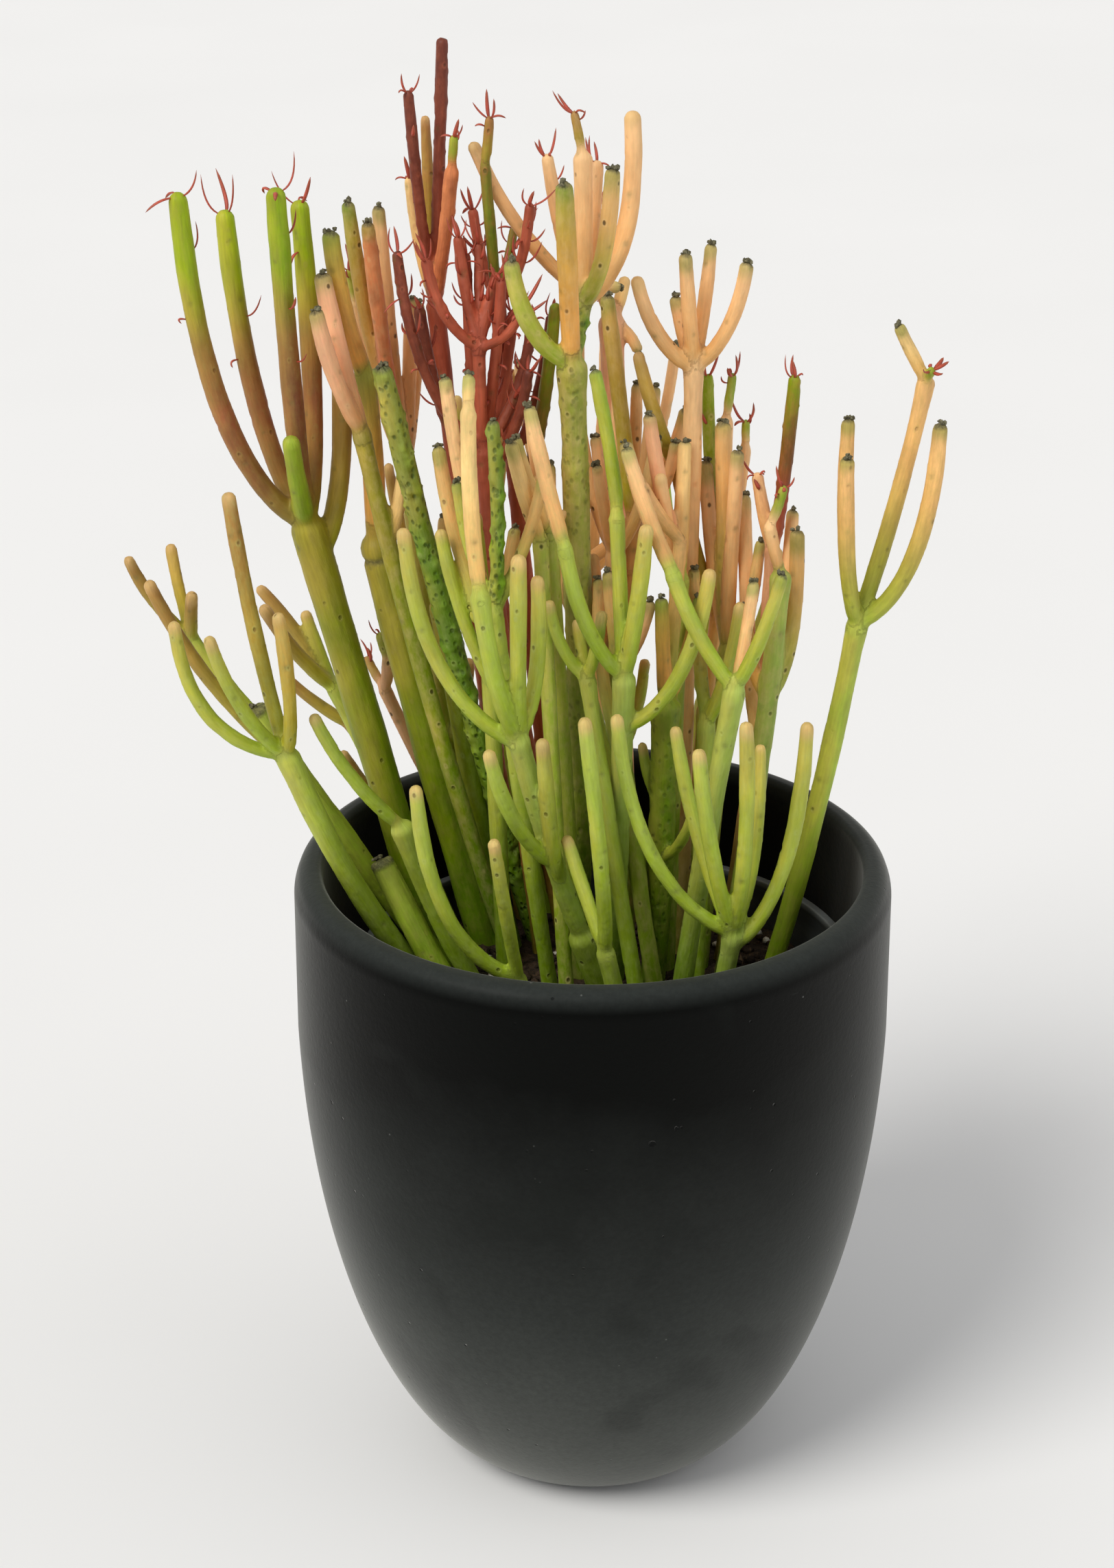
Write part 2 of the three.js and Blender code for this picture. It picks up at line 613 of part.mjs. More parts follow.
// The move that brings a point back inside a mouth, or up off its lip.
function insideLip(limb, p, { centre: [cx, cy], inner, outer, top }) {
  const reach = limb.radius + 2 * ROOM;
  const away = Math.hypot(p.x - cx, p.y - cy);
  const below = top + reach - p.z;
  const over = away + reach - inner;
  if (below <= 0 || over <= 0) return new THREE.Vector3();
  if (away > outer) return new THREE.Vector3(0, 0, below);
  return new THREE.Vector3(((cx - p.x) / away) * over, ((cy - p.y) / away) * over, 0);
}

// ---------------------------------------------------------------- solids

// A solid from a closed three.js geometry.
function solid(geometry) {
  const plain = geometry.clone();
  plain.deleteAttribute("normal");
  plain.deleteAttribute("uv");
  const merged = mergeVertices(plain, 1e-4);
  return new wasm.Manifold(new wasm.Mesh({
    numProp: 3,
    vertProperties: new Float32Array(merged.attributes.position.array),
    triVerts: new Uint32Array(merged.index.array),
  }));
}

// A named mesh from a solid.
function mesh(name, made, colour, roughness) {
  const { vertProperties, triVerts } = made.getMesh();
  const geometry = new THREE.BufferGeometry();
  geometry.setAttribute("position", new THREE.BufferAttribute(vertProperties, 3));
  geometry.setIndex(new THREE.BufferAttribute(triVerts, 1));
  const flat = geometry.toNonIndexed();
  flat.computeVertexNormals();
  const material = new THREE.MeshStandardMaterial({ color: colour, roughness, metalness: 0 });
  const result = new THREE.Mesh(flat, material);
  result.name = name;
  return result;
}

// A solid turned about the vertical axis from [radius, height] points.
function turned(profile, sides) {
  const points = profile.map(([radius, height]) => new THREE.Vector2(radius, height));
  return solid(new THREE.LatheGeometry(points, sides).rotateX(Math.PI / 2));
}

// One shoot: a lathe-turned pencil bent along its curve. A bearing shoot ends in a swollen joint
// that reaches past its last point, and a side shoot starts inside the shoot that bears it.
function pencil(limb) {
  const past = (tip, before, reach) => tip.clone().lerp(before, -reach / tip.distanceTo(before));
  const points = limb.points.map((p) => p.clone());
  if (limb.parent >= 0) points[0] = past(points[0], points[1], 0.6 * limb.radius);
  if (limb.bearing) points[STEPS] = past(points[STEPS], points[STEPS - 1], 0.6 * limb.radius);
  const curve = new THREE.CatmullRomCurve3(points);
  const length = curve.getLength();
  const r = limb.radius;
  const sides = r > 5.5 ? 8 : 6;
  const spans = length < 30 ? 1 : length < 80 ? 2 : length < 150 ? 3 : 4;
  const swell = limb.bearing ? 1.12 : 0.93;
  const profile = [new THREE.Vector2(0, 0), new THREE.Vector2(r * 0.9, 0)];
  for (let i = 1; i < spans; i++)
    profile.push(new THREE.Vector2(r, ((length - r) * i) / spans));
  profile.push(
    new THREE.Vector2(r * swell, length - r * 0.9),
    new THREE.Vector2(r * 0.62 * swell, length - r * 0.2),
    new THREE.Vector2(0, length),
  );
  const geometry = new THREE.LatheGeometry(profile, sides);
  bendAlong(geometry, curve, length);
  return solid(geometry);
}

// Lays a geometry that stands along +Y onto a curve, turning its rings with it.
function bendAlong(geometry, curve, length) {
  const FRAMES = 24;
  const { normals, binormals } = curve.computeFrenetFrames(FRAMES);
  const position = geometry.attributes.position;
  for (let i = 0; i < position.count; i++) {
    const share = Math.min(1, Math.max(0, position.getY(i) / length));
    const place = Math.min(share * FRAMES, FRAMES - 1e-9);
    const k = Math.floor(place);
    const turn = (list) => list[k].clone().lerp(list[k + 1], place - k).normalize();
    const centre = curve.getPointAt(share);
    centre.addScaledVector(turn(normals), position.getX(i));
    centre.addScaledVector(turn(binormals), -position.getZ(i));
    position.setXYZ(i, centre.x, centre.y, centre.z);
  }
}

// ---------------------------------------------------------------- the three vessels

// The egg-shaped planter: a thick cast shell with a rounded lip and a flat foot.
function planter() {
  const { height, radius, baseRadius, wall, floor, lipDrop } = PLANTER;
  const outside = planterOutline();
  const inside = outside
    .filter(([, z]) => z > floor + 8)
    .map(([x, z]) => [x - wall, z])
    .reverse();
  const lip = [
    [radius - 0.5, planterSide - 4],
    [radius - 2.2, planterSide + lipDrop * 0.45],
    [radius - 5.5, height - 0.3],
    [insideMouth + 1.6, height],
    [insideMouth, height - 1.8],
  ];
  const seat = innerFloorRadius();
  const bottom = [[seat + 2.5, floor + 2.5], [seat, floor], [0, floor]];
  const foot = [[0, 0], [baseRadius, 0]];
  return turned([...foot, ...outside, ...lip, ...inside, ...bottom], ROUND);
}

// The thin nursery pot with its rolled rim and drain holes, standing on the planter's floor.
function nurseryPot() {
  const { topRadius, bottomRadius, rimHeight, wall, bead } = NURSERY_POT;
  const { drainHoles, drainHoleRadius, drainInset } = NURSERY_POT;
  const foot = PLANTER.floor + GAP;
  let pot = turned([
    [0, foot],
    [bottomRadius, foot],
    [topRadius, rimHeight - 8],
    [topRadius + bead, rimHeight - 7],
    [topRadius + bead, rimHeight],
    [topRadius - wall, rimHeight],
    [topRadius - wall, rimHeight - 8],
    [potInside(foot + wall), foot + wall],
    [0, foot + wall],
  ], POT_ROUND);
  for (let i = 0; i < drainHoles; i++) {
    const angle = (2 * Math.PI * i) / drainHoles;
    const away = bottomRadius - drainInset;
    const hole = new THREE.CylinderGeometry(drainHoleRadius, drainHoleRadius, 4 * wall, 8);
    hole.rotateX(Math.PI / 2);
    hole.translate(away * Math.cos(angle), away * Math.sin(angle), foot);
    pot = pot.subtract(solid(hole));
  }
  return pot.translate([...NURSERY_POT.offset, 0]);
}

// The nursery pot's inner radius at a height.
function potInside(height) {
  const { topRadius, bottomRadius, rimHeight, wall } = NURSERY_POT;
  const foot = PLANTER.floor + GAP;
  const share = (height - foot) / (rimHeight - 8 - foot);
  return bottomRadius + (topRadius - bottomRadius) * Math.min(1, share) - wall;
}

// The soil, slightly mounded, with a socket for the buried foot of each cutting.
function pottingSoil(sockets) {
  const bottom = PLANTER.floor + 2 * GAP + NURSERY_POT.wall;
  const rings = [1, 0.7];
  const edge = potInside(SOIL.level) - GAP;
  const top = rings.map((share) => [edge * share, SOIL.level + SOIL.mound * (1 - share) ** 0.6]);
  const body = turned([
    [0, bottom],
    [potInside(bottom) - GAP, bottom],
    ...top,
    [0, SOIL.level + SOIL.mound],
  ], POT_ROUND).translate([...NURSERY_POT.offset, 0]);
  return sockets.reduce((soil, socket) => soil.subtract(socket), body);
}

// ---------------------------------------------------------------- the object

const limbs = growLimbs();
makeRoom(limbs);

const object = new THREE.Group();
object.name = "potted_euphorbia";
object.add(mesh("planter", planter(), COLOUR.planter, 0.6));
object.add(mesh("nursery_pot", nurseryPot(), COLOUR.nurseryPot, 0.5));

const sockets = [];
CUTTINGS.forEach(({ name, colour }, stem) => {
  const own = limbs.filter((limb) => limb.stem === stem);
  const grown = own.map(pencil).reduce((one, two) => one.add(two));
  object.add(mesh(name, grown, COLOUR[colour], 0.55));
  for (const limb of own.filter(({ parent }) => parent < 0)) {
    const [first, second] = limb.points;
    const wide = limb.radius + 2 * GAP;
    const down = first.clone().lerp(second, -GAP / first.distanceTo(second));
    sockets.push(pencil({ ...limb, radius: wide, points: [down, ...limb.points.slice(1)] }));
  }
});
object.add(mesh("potting_soil", pottingSoil(sockets), COLOUR.soil, 0.95));

export default object;
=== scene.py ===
"""The looks of a potted pencil euphorbia ("firesticks"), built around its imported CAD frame.

Lengths are in millimetres until a mesh is made, and in metres from there on.
"""
import json
import math

import bmesh
import bpy
import numpy as np
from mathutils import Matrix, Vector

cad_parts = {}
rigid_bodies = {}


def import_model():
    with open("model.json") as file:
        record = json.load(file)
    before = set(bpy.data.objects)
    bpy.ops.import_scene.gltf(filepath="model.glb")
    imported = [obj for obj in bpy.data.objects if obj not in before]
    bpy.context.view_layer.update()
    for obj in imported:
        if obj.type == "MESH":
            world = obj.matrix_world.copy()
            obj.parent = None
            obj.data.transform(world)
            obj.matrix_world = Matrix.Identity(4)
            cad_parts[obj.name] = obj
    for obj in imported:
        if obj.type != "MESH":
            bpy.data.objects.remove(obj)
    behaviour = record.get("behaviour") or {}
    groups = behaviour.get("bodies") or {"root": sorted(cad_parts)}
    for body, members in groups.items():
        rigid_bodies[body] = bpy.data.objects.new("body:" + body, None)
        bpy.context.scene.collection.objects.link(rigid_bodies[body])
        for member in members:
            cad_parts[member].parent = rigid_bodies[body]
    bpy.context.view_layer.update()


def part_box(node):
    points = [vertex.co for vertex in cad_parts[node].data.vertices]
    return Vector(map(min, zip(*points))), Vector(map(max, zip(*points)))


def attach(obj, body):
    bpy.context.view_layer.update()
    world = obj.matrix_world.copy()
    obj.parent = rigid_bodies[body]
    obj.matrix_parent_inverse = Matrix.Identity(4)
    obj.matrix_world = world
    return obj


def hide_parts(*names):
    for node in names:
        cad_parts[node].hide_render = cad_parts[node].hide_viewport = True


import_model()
MM = 0.001


def box_mm(node):
    low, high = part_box(node)
    return np.array(low) / MM, np.array(high) / MM


# ---------------------------------------------------------------- sizes, from the frame

PLANTER_LOW, PLANTER_HIGH = box_mm("planter")
POT_LOW, POT_HIGH = box_mm("nursery_pot")
SOIL_HIGH = box_mm("potting_soil")[1]

RADIUS = (PLANTER_HIGH[0] - PLANTER_LOW[0]) / 2
HEIGHT = PLANTER_HIGH[2]
BASE_RADIUS = 46  # the flat disc it stands on
WALL = 11
FLOOR = 26
LIP_DROP = 5  # how much lower the lip is outside than inside
MOUTH = RADIUS - WALL

RIM = POT_HIGH[2]
POT_CENTRE = (POT_LOW[:2] + POT_HIGH[:2]) / 2
POT_BEAD = 1.6  # how far the rolled rim stands out
POT_WALL = 1.8
BEAD_HEIGHT = 8  # and how far down it reaches
POT_TOP = (POT_HIGH[0] - POT_LOW[0]) / 2 - POT_BEAD
POT_BOTTOM = 56
POT_FOOT = POT_LOW[2]

MOUND = 3  # the soil's rise in the middle
BURY = 10  # how deep the cuttings stand in it
SOIL = SOIL_HIGH[2] - MOUND
GAP = 0.3

LISTED_SOIL = 188  # the soil level and mouth for which the cuttings are listed
LISTED_MOUTH = 99
PENCIL = 0.94  # scale of every listed thickness
ROOM = 0.745 * PENCIL  # between shoots of different cuttings
POT_CLEAR = 9  # from a shoot's axis to the nursery pot's wall
STEPS = 6  # straight steps that stand for one shoot while room is made


# ---------------------------------------------------------------- the cuttings

def shoot(tip, thick, look, bow=0.1, grows=(), at=1.0, lean=(0, 0, 0)):
    """A shoot that ends at tip; `look` is its skin and how its end is finished."""
    return {"tip": tip, "thick": thick, "look": look, "bow": bow, "grows": grows, "at": at, "lean": lean}


def cutting(name, slot, foot, *grows):
    return {"name": name, "slot": slot, "foot": foot, "grows": grows}


CUTTINGS = [
    cutting("stem_left_tall", "olive_stem", (-60, 38),
        shoot((-104, 30, 363), 13.5, "trunk node", 0, [
            shoot((-143, 12, 489), 8, "blush whisker", 0.95),
            shoot((-131, 48, 474), 8, "blush whisker", 0.75),
            shoot((-109, 6, 492), 8, "blush_dark whisker", 0.3),
            shoot((-104, 42, 479), 8, "blush whisker", 0.6, lean=(6, 0, -5)),
            shoot((-107, 8, 403), 7.5, "bright round", 0.2),
            shoot((-91, 40, 416), 8, "bronze round", 0.9, at=0.93, lean=(3, 0, 0)),
        ])),
    cutting("stem_left_low", "green_stem", (-52, 5),
        shoot((-108, -22, 295), 9, "lime node", 0.15, [
            shoot((-145, -30, 349), 5.5, "lime_tan round", 1, lean=(-1, 0, -3)),
            shoot((-132, -42, 348), 5.5, "lime_tan round", 0.45),
            shoot((-126, -15, 391), 6, "bronze round", 0.25),
            shoot((-108, -40, 356), 5.5, "tan round", 0.4, lean=(5, 0, -3)),
        ], lean=(-3, 0, -3))),
    cutting("stem_left_stub", "olive_stem", (-48, 26),
        shoot((-134, 8, 299), 9, "lime cut", 0.1, [
            shoot((-170, 0, 353), 5.5, "bronze round", 0.1, at=0.86, lean=(-4, 0, -6)),
            shoot((-158, 22, 323), 5.5, "lime node", 0.1, [
                shoot((-177, 14, 357), 5, "bronze round", 0.35),
                shoot((-164, 36, 354), 5, "tan round"),
                shoot((-154, 12, 344), 5.5, "bronze round"),
            ], at=0.93),
        ], lean=(-3, 0, -6))),
    cutting("stem_left_back", "olive_stem", (-50, 50),
        shoot((-107, 70, 286), 6.5, "lime node", 0.1, [
            shoot((-132, 60, 323), 6, "bronze round", 0.1, lean=(-1, 0, -3)),
            shoot((-135, 84, 322), 5.5, "bronze round", 0.6, lean=(8, 0, 8)),
            shoot((-119, 80, 313), 5.5, "lime_tan round", 0.2),
            shoot((-111, 88, 266), 5.5, "bronze node", 0.1, [
                shoot((-135, 88, 286), 5, "bronze round", 0.2),
            ], at=0.55),
            shoot((-102, 50, 268), 5, "bronze round", 0.1, at=0.4),
        ])),
    cutting("stem_left_inner", "green_stem", (-38, 2),
        shoot((-71, -14, 262), 8.5, "lime node", 0.1, [
            shoot((-101, -26, 311), 5.5, "lime round", 0.3),
        ], lean=(-2, 0, -3))),
    cutting("stem_cut_stub", "olive_stem", (-42, -14),
        shoot((-78, 4, 242), 10.5, "lime cut")),
    cutting("stem_bud_twig", "peach_stem", (-27, 52),
        shoot((-78, 52, 290), 5.5, "pink node", 0.05, [
            shoot((-76, 48, 303), 5, "pink node", 0.6, [
                shoot((-79, 46, 315), 4.5, "bright leaf"),
            ]),
            shoot((-85, 60, 300), 4, "bronze leaf", 0.2),
        ])),
    cutting("stem_thick_left", "olive_stem", (-38, 44),
        shoot((-79, 36, 354), 13.5, "trunk ring", 0.05, [
            shoot((-81, 30, 419), 8.5, "peach_green node", 0.2, [
                shoot((-92, 22, 473), 7.5, "peach_green scab", 0.5),
            ], lean=(2, 0, 0)),
        ], lean=(-1, 0, 0))),
    cutting("stem_pink_pair", "peach_stem", (-27, 28),
        shoot((-82, 14, 403), 7, "trunk node", 0.05, [
            shoot((-96, 2, 451), 6.5, "pink scab", 0.35),
            shoot((-94, 18, 460), 7.5, "pink scab", 0.2),
            shoot((-66, 20, 398), 5.5, "cream scab", 0.4, at=0.82),
        ], lean=(-3, 0, -5))),
    cutting("stem_warty", "green_stem", (-18, 46),
        shoot((-75, 2, 431), 8.5, "warty scab", 0.05, lean=(-2, 0, -3))),
    cutting("stem_front_left", "green_stem", (-22, -30),
        shoot((-27, -42, 216), 6.5, "lime node", 0, [
            shoot((-62, -58, 299), 6, "lime round", 0.85, lean=(-2, 0, -3)),
            shoot((-35, -66, 282), 5.5, "lime_tan round"),
        ])),
    cutting("stem_front_centre", "green_stem", (10, -8),
        shoot((-7, -22, 224), 10.5, "lime node", 0.1, [
            shoot((-29, -44, 311), 8, "lime_grey node", 0.15, [
                shoot((-67, -50, 390), 6, "lime_tan round", 0.75, at=0.97, lean=(-3, 0, -3)),
                shoot((-41, -58, 369), 7, "lime node", 0.5, [
                    shoot((-44, -48, 430), 6, "cream node", 0.1, [
                        shoot((-43, -44, 442), 5, "cream scab"),
                    ], lean=(-2, 0, 0)),
                ]),
                shoot((-28, -60, 384), 6.5, "lime_tan round", 0.05),
                shoot((-22, -36, 368), 6, "lime_tan round", 0.7, lean=(4, 0, -3)),
                shoot((-39, -62, 314), 6, "lime round", 0.5, at=0.4),
                shoot((-19, -48, 313), 6, "lime_tan round", 0.6, at=0.3, lean=(2, 0, 0)),
            ]),
        ])),
    cutting("stem_centre_tall", "peach_stem", (-6, 22),
        shoot((-5, 6, 430), 10.5, "greygreen node", 0, [
            shoot((-26, -4, 470), 7, "lime_tan scab", 0.85),
            shoot((-8, -10, 498), 7.5, "peach_green scab", 0.05),
            shoot((-1, 18, 449), 6.5, "warty node", 0.2, [
                shoot((-2, 26, 498), 7, "peach node", 0.1, [
                    shoot((-6, 25, 514), 4, "bronze leaf"),
                ]),
                shoot((8, 6, 499), 6.5, "green_peach scab", 0.9),
                shoot((15, 30, 513), 7, "peach round", 1, lean=(5, 0, -2)),
                shoot((3, 42, 493), 6, "peach leaf", 0.4),
            ]),
            shoot((-17, 22, 390), 5.5, "peach scab", 0.4, at=0.6),
            shoot((-2, 34, 374), 6, "peach scab", 0.4, at=0.55),
        ], lean=(6, 0, 0))),
    cutting("stem_centre_whorl", "green_stem", (8, 10),
        shoot((10, -24, 325), 8.5, "lime_grey node", 0.05, [
            shoot((-11, -34, 377), 6, "lime node", 0.6, [
                shoot((-23, -26, 425), 6, "peach scab", 0.15),
            ]),
            shoot((7, -22, 384), 6, "lime node", 0.05, [
                shoot((-1, -16, 435), 5.5, "bright scab", 0.3, lean=(5, 0, -7)),
            ]),
            shoot((17, -36, 386), 6.5, "lime_tan round", 0.3),
            shoot((39, -30, 367), 6, "lime_tan round", 0.75, at=0.86, lean=(0, 0, -5)),
            shoot((4, 10, 351), 5, "green_peach scab", 0.5, at=0.75),
        ])),
    cutting("stem_green_left", "green_stem", (-14, 2),
        shoot((-35, -20, 349), 6.5, "lime node", 0.05, [
            shoot((-35, -22, 419), 5.5, "warty scab", 0.1, lean=(3, 0, 0)),
            shoot((-48, -12, 394), 5, "lime_tan scab", 0.5),
            shoot((-18, -12, 396), 5, "green_peach scab", 0.4),
            shoot((-55, 8, 400), 6, "green_peach scab", 0.5, at=0.9),
            shoot((-54, -6, 374), 5.5, "lime round", 0.5, at=0.78),
            shoot((-52, 2, 427), 5.5, "peach scab", 0.3, at=0.9),
        ])),
    cutting("stem_peach_front", "peach_stem", (-8, -24),
        shoot((-18, -6, 370), 6, "lime node", 0.05, [
            shoot((-28, -14, 409), 6, "cream scab", 0.15),
        ])),
    cutting("stem_front_v", "green_stem", (16, -46),
        shoot((4, -54, 233), 7, "lime node", 0.05, [
            shoot((-15, -38, 269), 5.5, "lime round"),
            shoot((-4, -74, 331), 6, "lime round", 0.35, lean=(5, 0, -8)),
        ])),
    cutting("stem_front_right", "green_stem", (42, -38),
        shoot((49, -52, 239), 7.5, "lime_grey node", 0, [
            shoot((7, -62, 327), 5.5, "lime round", 0.75, lean=(-2, 0, -4)),
            shoot((28, -34, 311), 5.5, "lime round", 0.4),
            shoot((35, -66, 316), 6, "lime round", 0.4),
            shoot((51, -66, 326), 6, "lime_tan round", 0.3, lean=(4, 0, -3)),
            shoot((58, -36, 305), 5, "lime_tan round", 0.5, lean=(4, 0, -5)),
            shoot((73, -52, 320), 6, "lime_tan round", 0.85, at=0.9, lean=(2, 0, -5)),
        ])),
    cutting("stem_right_v", "green_stem", (30, -20),
        shoot((48, -34, 325), 8, "lime_grey node", 0.05, [
            shoot((26, -30, 367), 6, "lime node", 0.3, [
                shoot((10, -22, 410), 6, "peach scab", 0.15),
            ]),
            shoot((63, -42, 371), 5.5, "lime_tan scab", 0.3),
            shoot((55, -14, 358), 5, "peach scab", 0.3),
        ], lean=(-3, 0, -3))),
    cutting("stem_knotted", "olive_stem", (22, 8),
        shoot((23, -12, 309), 10.5, "dark node", 0, [
            shoot((21, -14, 351), 6, "peach_green scab"),
            shoot((28, 2, 366), 5.5, "green_peach node", 0.2, [
                shoot((10, 4, 398), 5.5, "peach scab", 0.2),
            ]),
            shoot((35, 12, 342), 5.5, "peach_green scab", 0.6),
            shoot((15, -2, 290), 4.5, "lime round", 0.5, at=0.66),
            shoot((36, -30, 285), 4.5, "lime round", 0.6, at=0.5),
            shoot((-12, 22, 338), 5.5, "lime round", 0.4, at=0.4),
        ])),
    cutting("stem_right_tall", "olive_stem", (62, 2),
        shoot((93, -8, 339), 8, "lime node", 0.05, [
            shoot((89, 12, 409), 6, "green_peach scab", 0.75, lean=(-3, 0, 0)),
            shoot((86, -22, 406), 6.5, "green_peach scab", 0.5, lean=(-2, 0, -3)),
            shoot((115, 6, 424), 6.5, "green_peach node", 0.2, [
                shoot((104, 4, 445), 5, "cream scab"),
                shoot((116, 0, 430), 4, "bright leaf"),
            ]),
            shoot((118, -16, 416), 6.5, "green_peach scab", 0.9, lean=(2, 0, -2)),
        ], lean=(3, 0, -3))),
    cutting("stem_right_pair", "peach_stem", (48, 12),
        shoot((66, -2, 355), 8, "lime_grey node", 0.05, [
            shoot((61, -6, 375), 5, "peach node", 0.1, [
                shoot((66, -6, 390), 4, "bright leaf", 0.3),
            ]),
            shoot((72, 8, 369), 6.5, "green_peach scab", 0.6, at=0.73, lean=(4, 0, -3)),
            shoot((69, 22, 372), 5.5, "peach scab", 0.3, at=0.8),
            shoot((54, 10, 340), 5.5, "peach_green scab", 0.8, at=0.73),
            shoot((54, 26, 376), 6, "peach scab", 0.4, at=0.6),
        ], lean=(4, 0, 0))),
    cutting("stem_right_slender", "red_stem", (48, 28),
        shoot((59, 14, 359), 6, "pink node", 0.05, [
            shoot((65, 10, 425), 5.5, "fire leaf", 0.35),
            shoot((53, 20, 386), 5.5, "peach leaf", 0.3),
        ], lean=(3, 0, 0))),
    cutting("stem_right_mid", "peach_stem", (32, 50),
        shoot((46, 36, 325), 6.5, "green_peach node", 0.05, [
            shoot((31, 30, 382), 5.5, "tan node", 0.25, [
                shoot((15, 24, 428), 5.5, "tan round", 0.3),
            ]),
            shoot((46, 36, 400), 5.5, "peach node", 0.1, [
                shoot((48, 34, 418), 4, "bright leaf"),
            ]),
            shoot((55, 44, 387), 5, "peach node", 0.3, [
                shoot((55, 44, 398), 4, "bright leaf"),
            ]),
            shoot((41, 48, 414), 5, "flame leaf", 0.3),
        ])),
    cutting("stem_right_whorl", "peach_stem", (34, 32),
        shoot((33, 30, 422), 7.5, "peach node", 0.05, [
            shoot((12, 20, 458), 6, "peach round", 0.7, lean=(1, 0, 0)),
            shoot((26, 36, 447), 5.5, "peach scab", 0.2),
            shoot((29, 22, 466), 6, "peach scab"),
            shoot((39, 40, 465), 5.5, "peach scab", 0.3),
            shoot((51, 26, 462), 6, "peach scab", 0.75),
            shoot((45, 46, 431), 5, "peach scab", 0.5),
        ])),
    cutting("stem_peach_centre", "peach_stem", (8, 52),
        shoot((16, 36, 362), 7, "green_peach node", 0.05, [
            shoot((5, 48, 443), 6.5, "tan scab"),
            shoot((23, 30, 405), 5, "peach scab", 0.4),
            shoot((34, 28, 396), 5, "peach scab", 0.7),
            shoot((17, 52, 409), 5, "peach scab", 0.15),
            shoot((2, 58, 387), 5, "peach scab", 0.4, at=0.85),
            shoot((24, 62, 405), 5.5, "peach scab", 0.4, at=0.9),
        ])),
    cutting("stem_centre_back", "peach_stem", (-4, 66),
        shoot((-7, 58, 443), 7.5, "green_peach node", 0.05, [
            shoot((-43, 48, 497), 5.5, "peach round", 0.35),
            shoot((-17, 60, 491), 5.5, "peach leaf", 0.2),
            shoot((1, 70, 469), 5, "peach leaf", 0.3),
            shoot((10, 64, 441), 5.5, "peach scab", 0.7),
            shoot((34, 66, 396), 5.5, "peach scab", 0.7, at=0.6),
        ])),
    cutting("stem_red_front", "red_stem", (-18, 34),
        shoot((-41, 34, 390), 7, "coral node", 0.05, [
            shoot((-70, 26, 465), 4.5, "maroon leafy", 0.8),
            shoot((-42, 34, 428), 5, "coral node", 0.05, [
                shoot((-60, 28, 462), 4.5, "coral leafy", 0.75),
                shoot((-26, 26, 446), 4, "coral leafy", 0.85),
                shoot((-34, 42, 453), 4.5, "coral leafy", 0.2),
                shoot((-49, 44, 466), 4.5, "coral leafy", 0.4),
                shoot((-41, 50, 462), 4, "coral leafy", 0.3),
            ]),
            shoot((-23, 42, 436), 4.5, "maroon leafy", 0.7),
        ], lean=(-3, 0, 0))),
    cutting("stem_red_tall", "red_stem", (-26, 68),
        shoot((-57, 62, 436), 7, "coral node", 0.05, [
            shoot((-53, 58, 532), 5, "maroon round"),
            shoot((-65, 52, 515), 4.5, "maroon leaf", 0.35),
            shoot((-60, 72, 502), 4.5, "bronze round", 0.25),
            shoot((-50, 46, 488), 5.5, "salmon node", 0.2, [
                shoot((-49, 45, 501), 4, "bright leaf"),
            ]),
            shoot((-66, 68, 481), 5, "cream leaf", 0.4),
        ], lean=(-3, 0, 0))),
    cutting("stem_red_centre", "red_stem", (-10, 56),
        shoot((-34, 52, 439), 6.5, "coral node", 0.05, [
            shoot((-39, 48, 490), 4.5, "moss node", 0.3, [
                shoot((-37, 46, 508), 4, "bronze leaf", 0.2),
            ]),
            shoot((-22, 44, 477), 4.5, "coral leafy", 0.8),
            shoot((-43, 66, 470), 4.5, "coral leafy", 0.5),
            shoot((-28, 66, 463), 4, "moss leafy", 0.3),
            shoot((-13, 58, 437), 5.5, "flame round", 0.45, at=0.7),
            shoot((-15, 68, 430), 4, "maroon leafy", 0.6, at=0.78),
        ])),
    cutting("stem_peach_left", "peach_stem", (-38, 58),
        shoot((-69, 62, 374), 7, "lime_tan node", 0.05, [
            shoot((-87, 52, 476), 6, "peach_green scab", 0.35),
            shoot((-77, 60, 473), 6, "peach scab", 0.2),
            shoot((-66, 74, 435), 6, "peach scab"),
            shoot((-80, 44, 471), 6, "salmon scab", 0.25),
            shoot((-86, 68, 434), 5, "peach node", 0.3, [
                shoot((-88, 66, 448), 4, "bright leaf"),
            ]),
            shoot((-75, 64, 437), 6, "peach scab", 0.15),
            shoot((-64, 84, 431), 6, "peach scab", 0.4),
            shoot((-46, 50, 303), 6, "lime_tan round", 0.5, at=0.45),
        ], lean=(-2, 0, 0))),
    cutting("stem_mid_left", "green_stem", (-32, 15),
        shoot((-38, 12, 330), 7, "lime node", 0.05, [
            shoot((-42, 12, 374), 5.5, "lime_tan round", 0.2),
            shoot((-28, 20, 366), 5.5, "green_peach scab", 0.5),
            shoot((-56, 24, 360), 5.5, "lime_tan round", 0.7),
        ])),
    cutting("stem_mid_right", "green_stem", (38, -5),
        shoot((41, 4, 296), 7, "lime node", 0.05, [
            shoot((52, -2, 345), 5.5, "lime_tan round", 0.5),
            shoot((36, 14, 352), 5.5, "green_peach scab", 0.3),
            shoot((64, 22, 360), 5, "green_peach scab", 0.7),
            shoot((37, 30, 293), 5, "lime round", 0.6, at=0.55),
        ])),
    cutting("stem_mid_back", "peach_stem", (14, 30),
        shoot((8, 34, 350), 7.5, "green_peach node", 0.05, [
            shoot((-6, 38, 402), 5.5, "peach scab", 0.5),
            shoot((11, 46, 412), 5.5, "peach scab", 0.3),
            shoot((22, 26, 398), 5.5, "cream scab", 0.5),
            shoot((1, 24, 388), 5, "peach scab", 0.3),
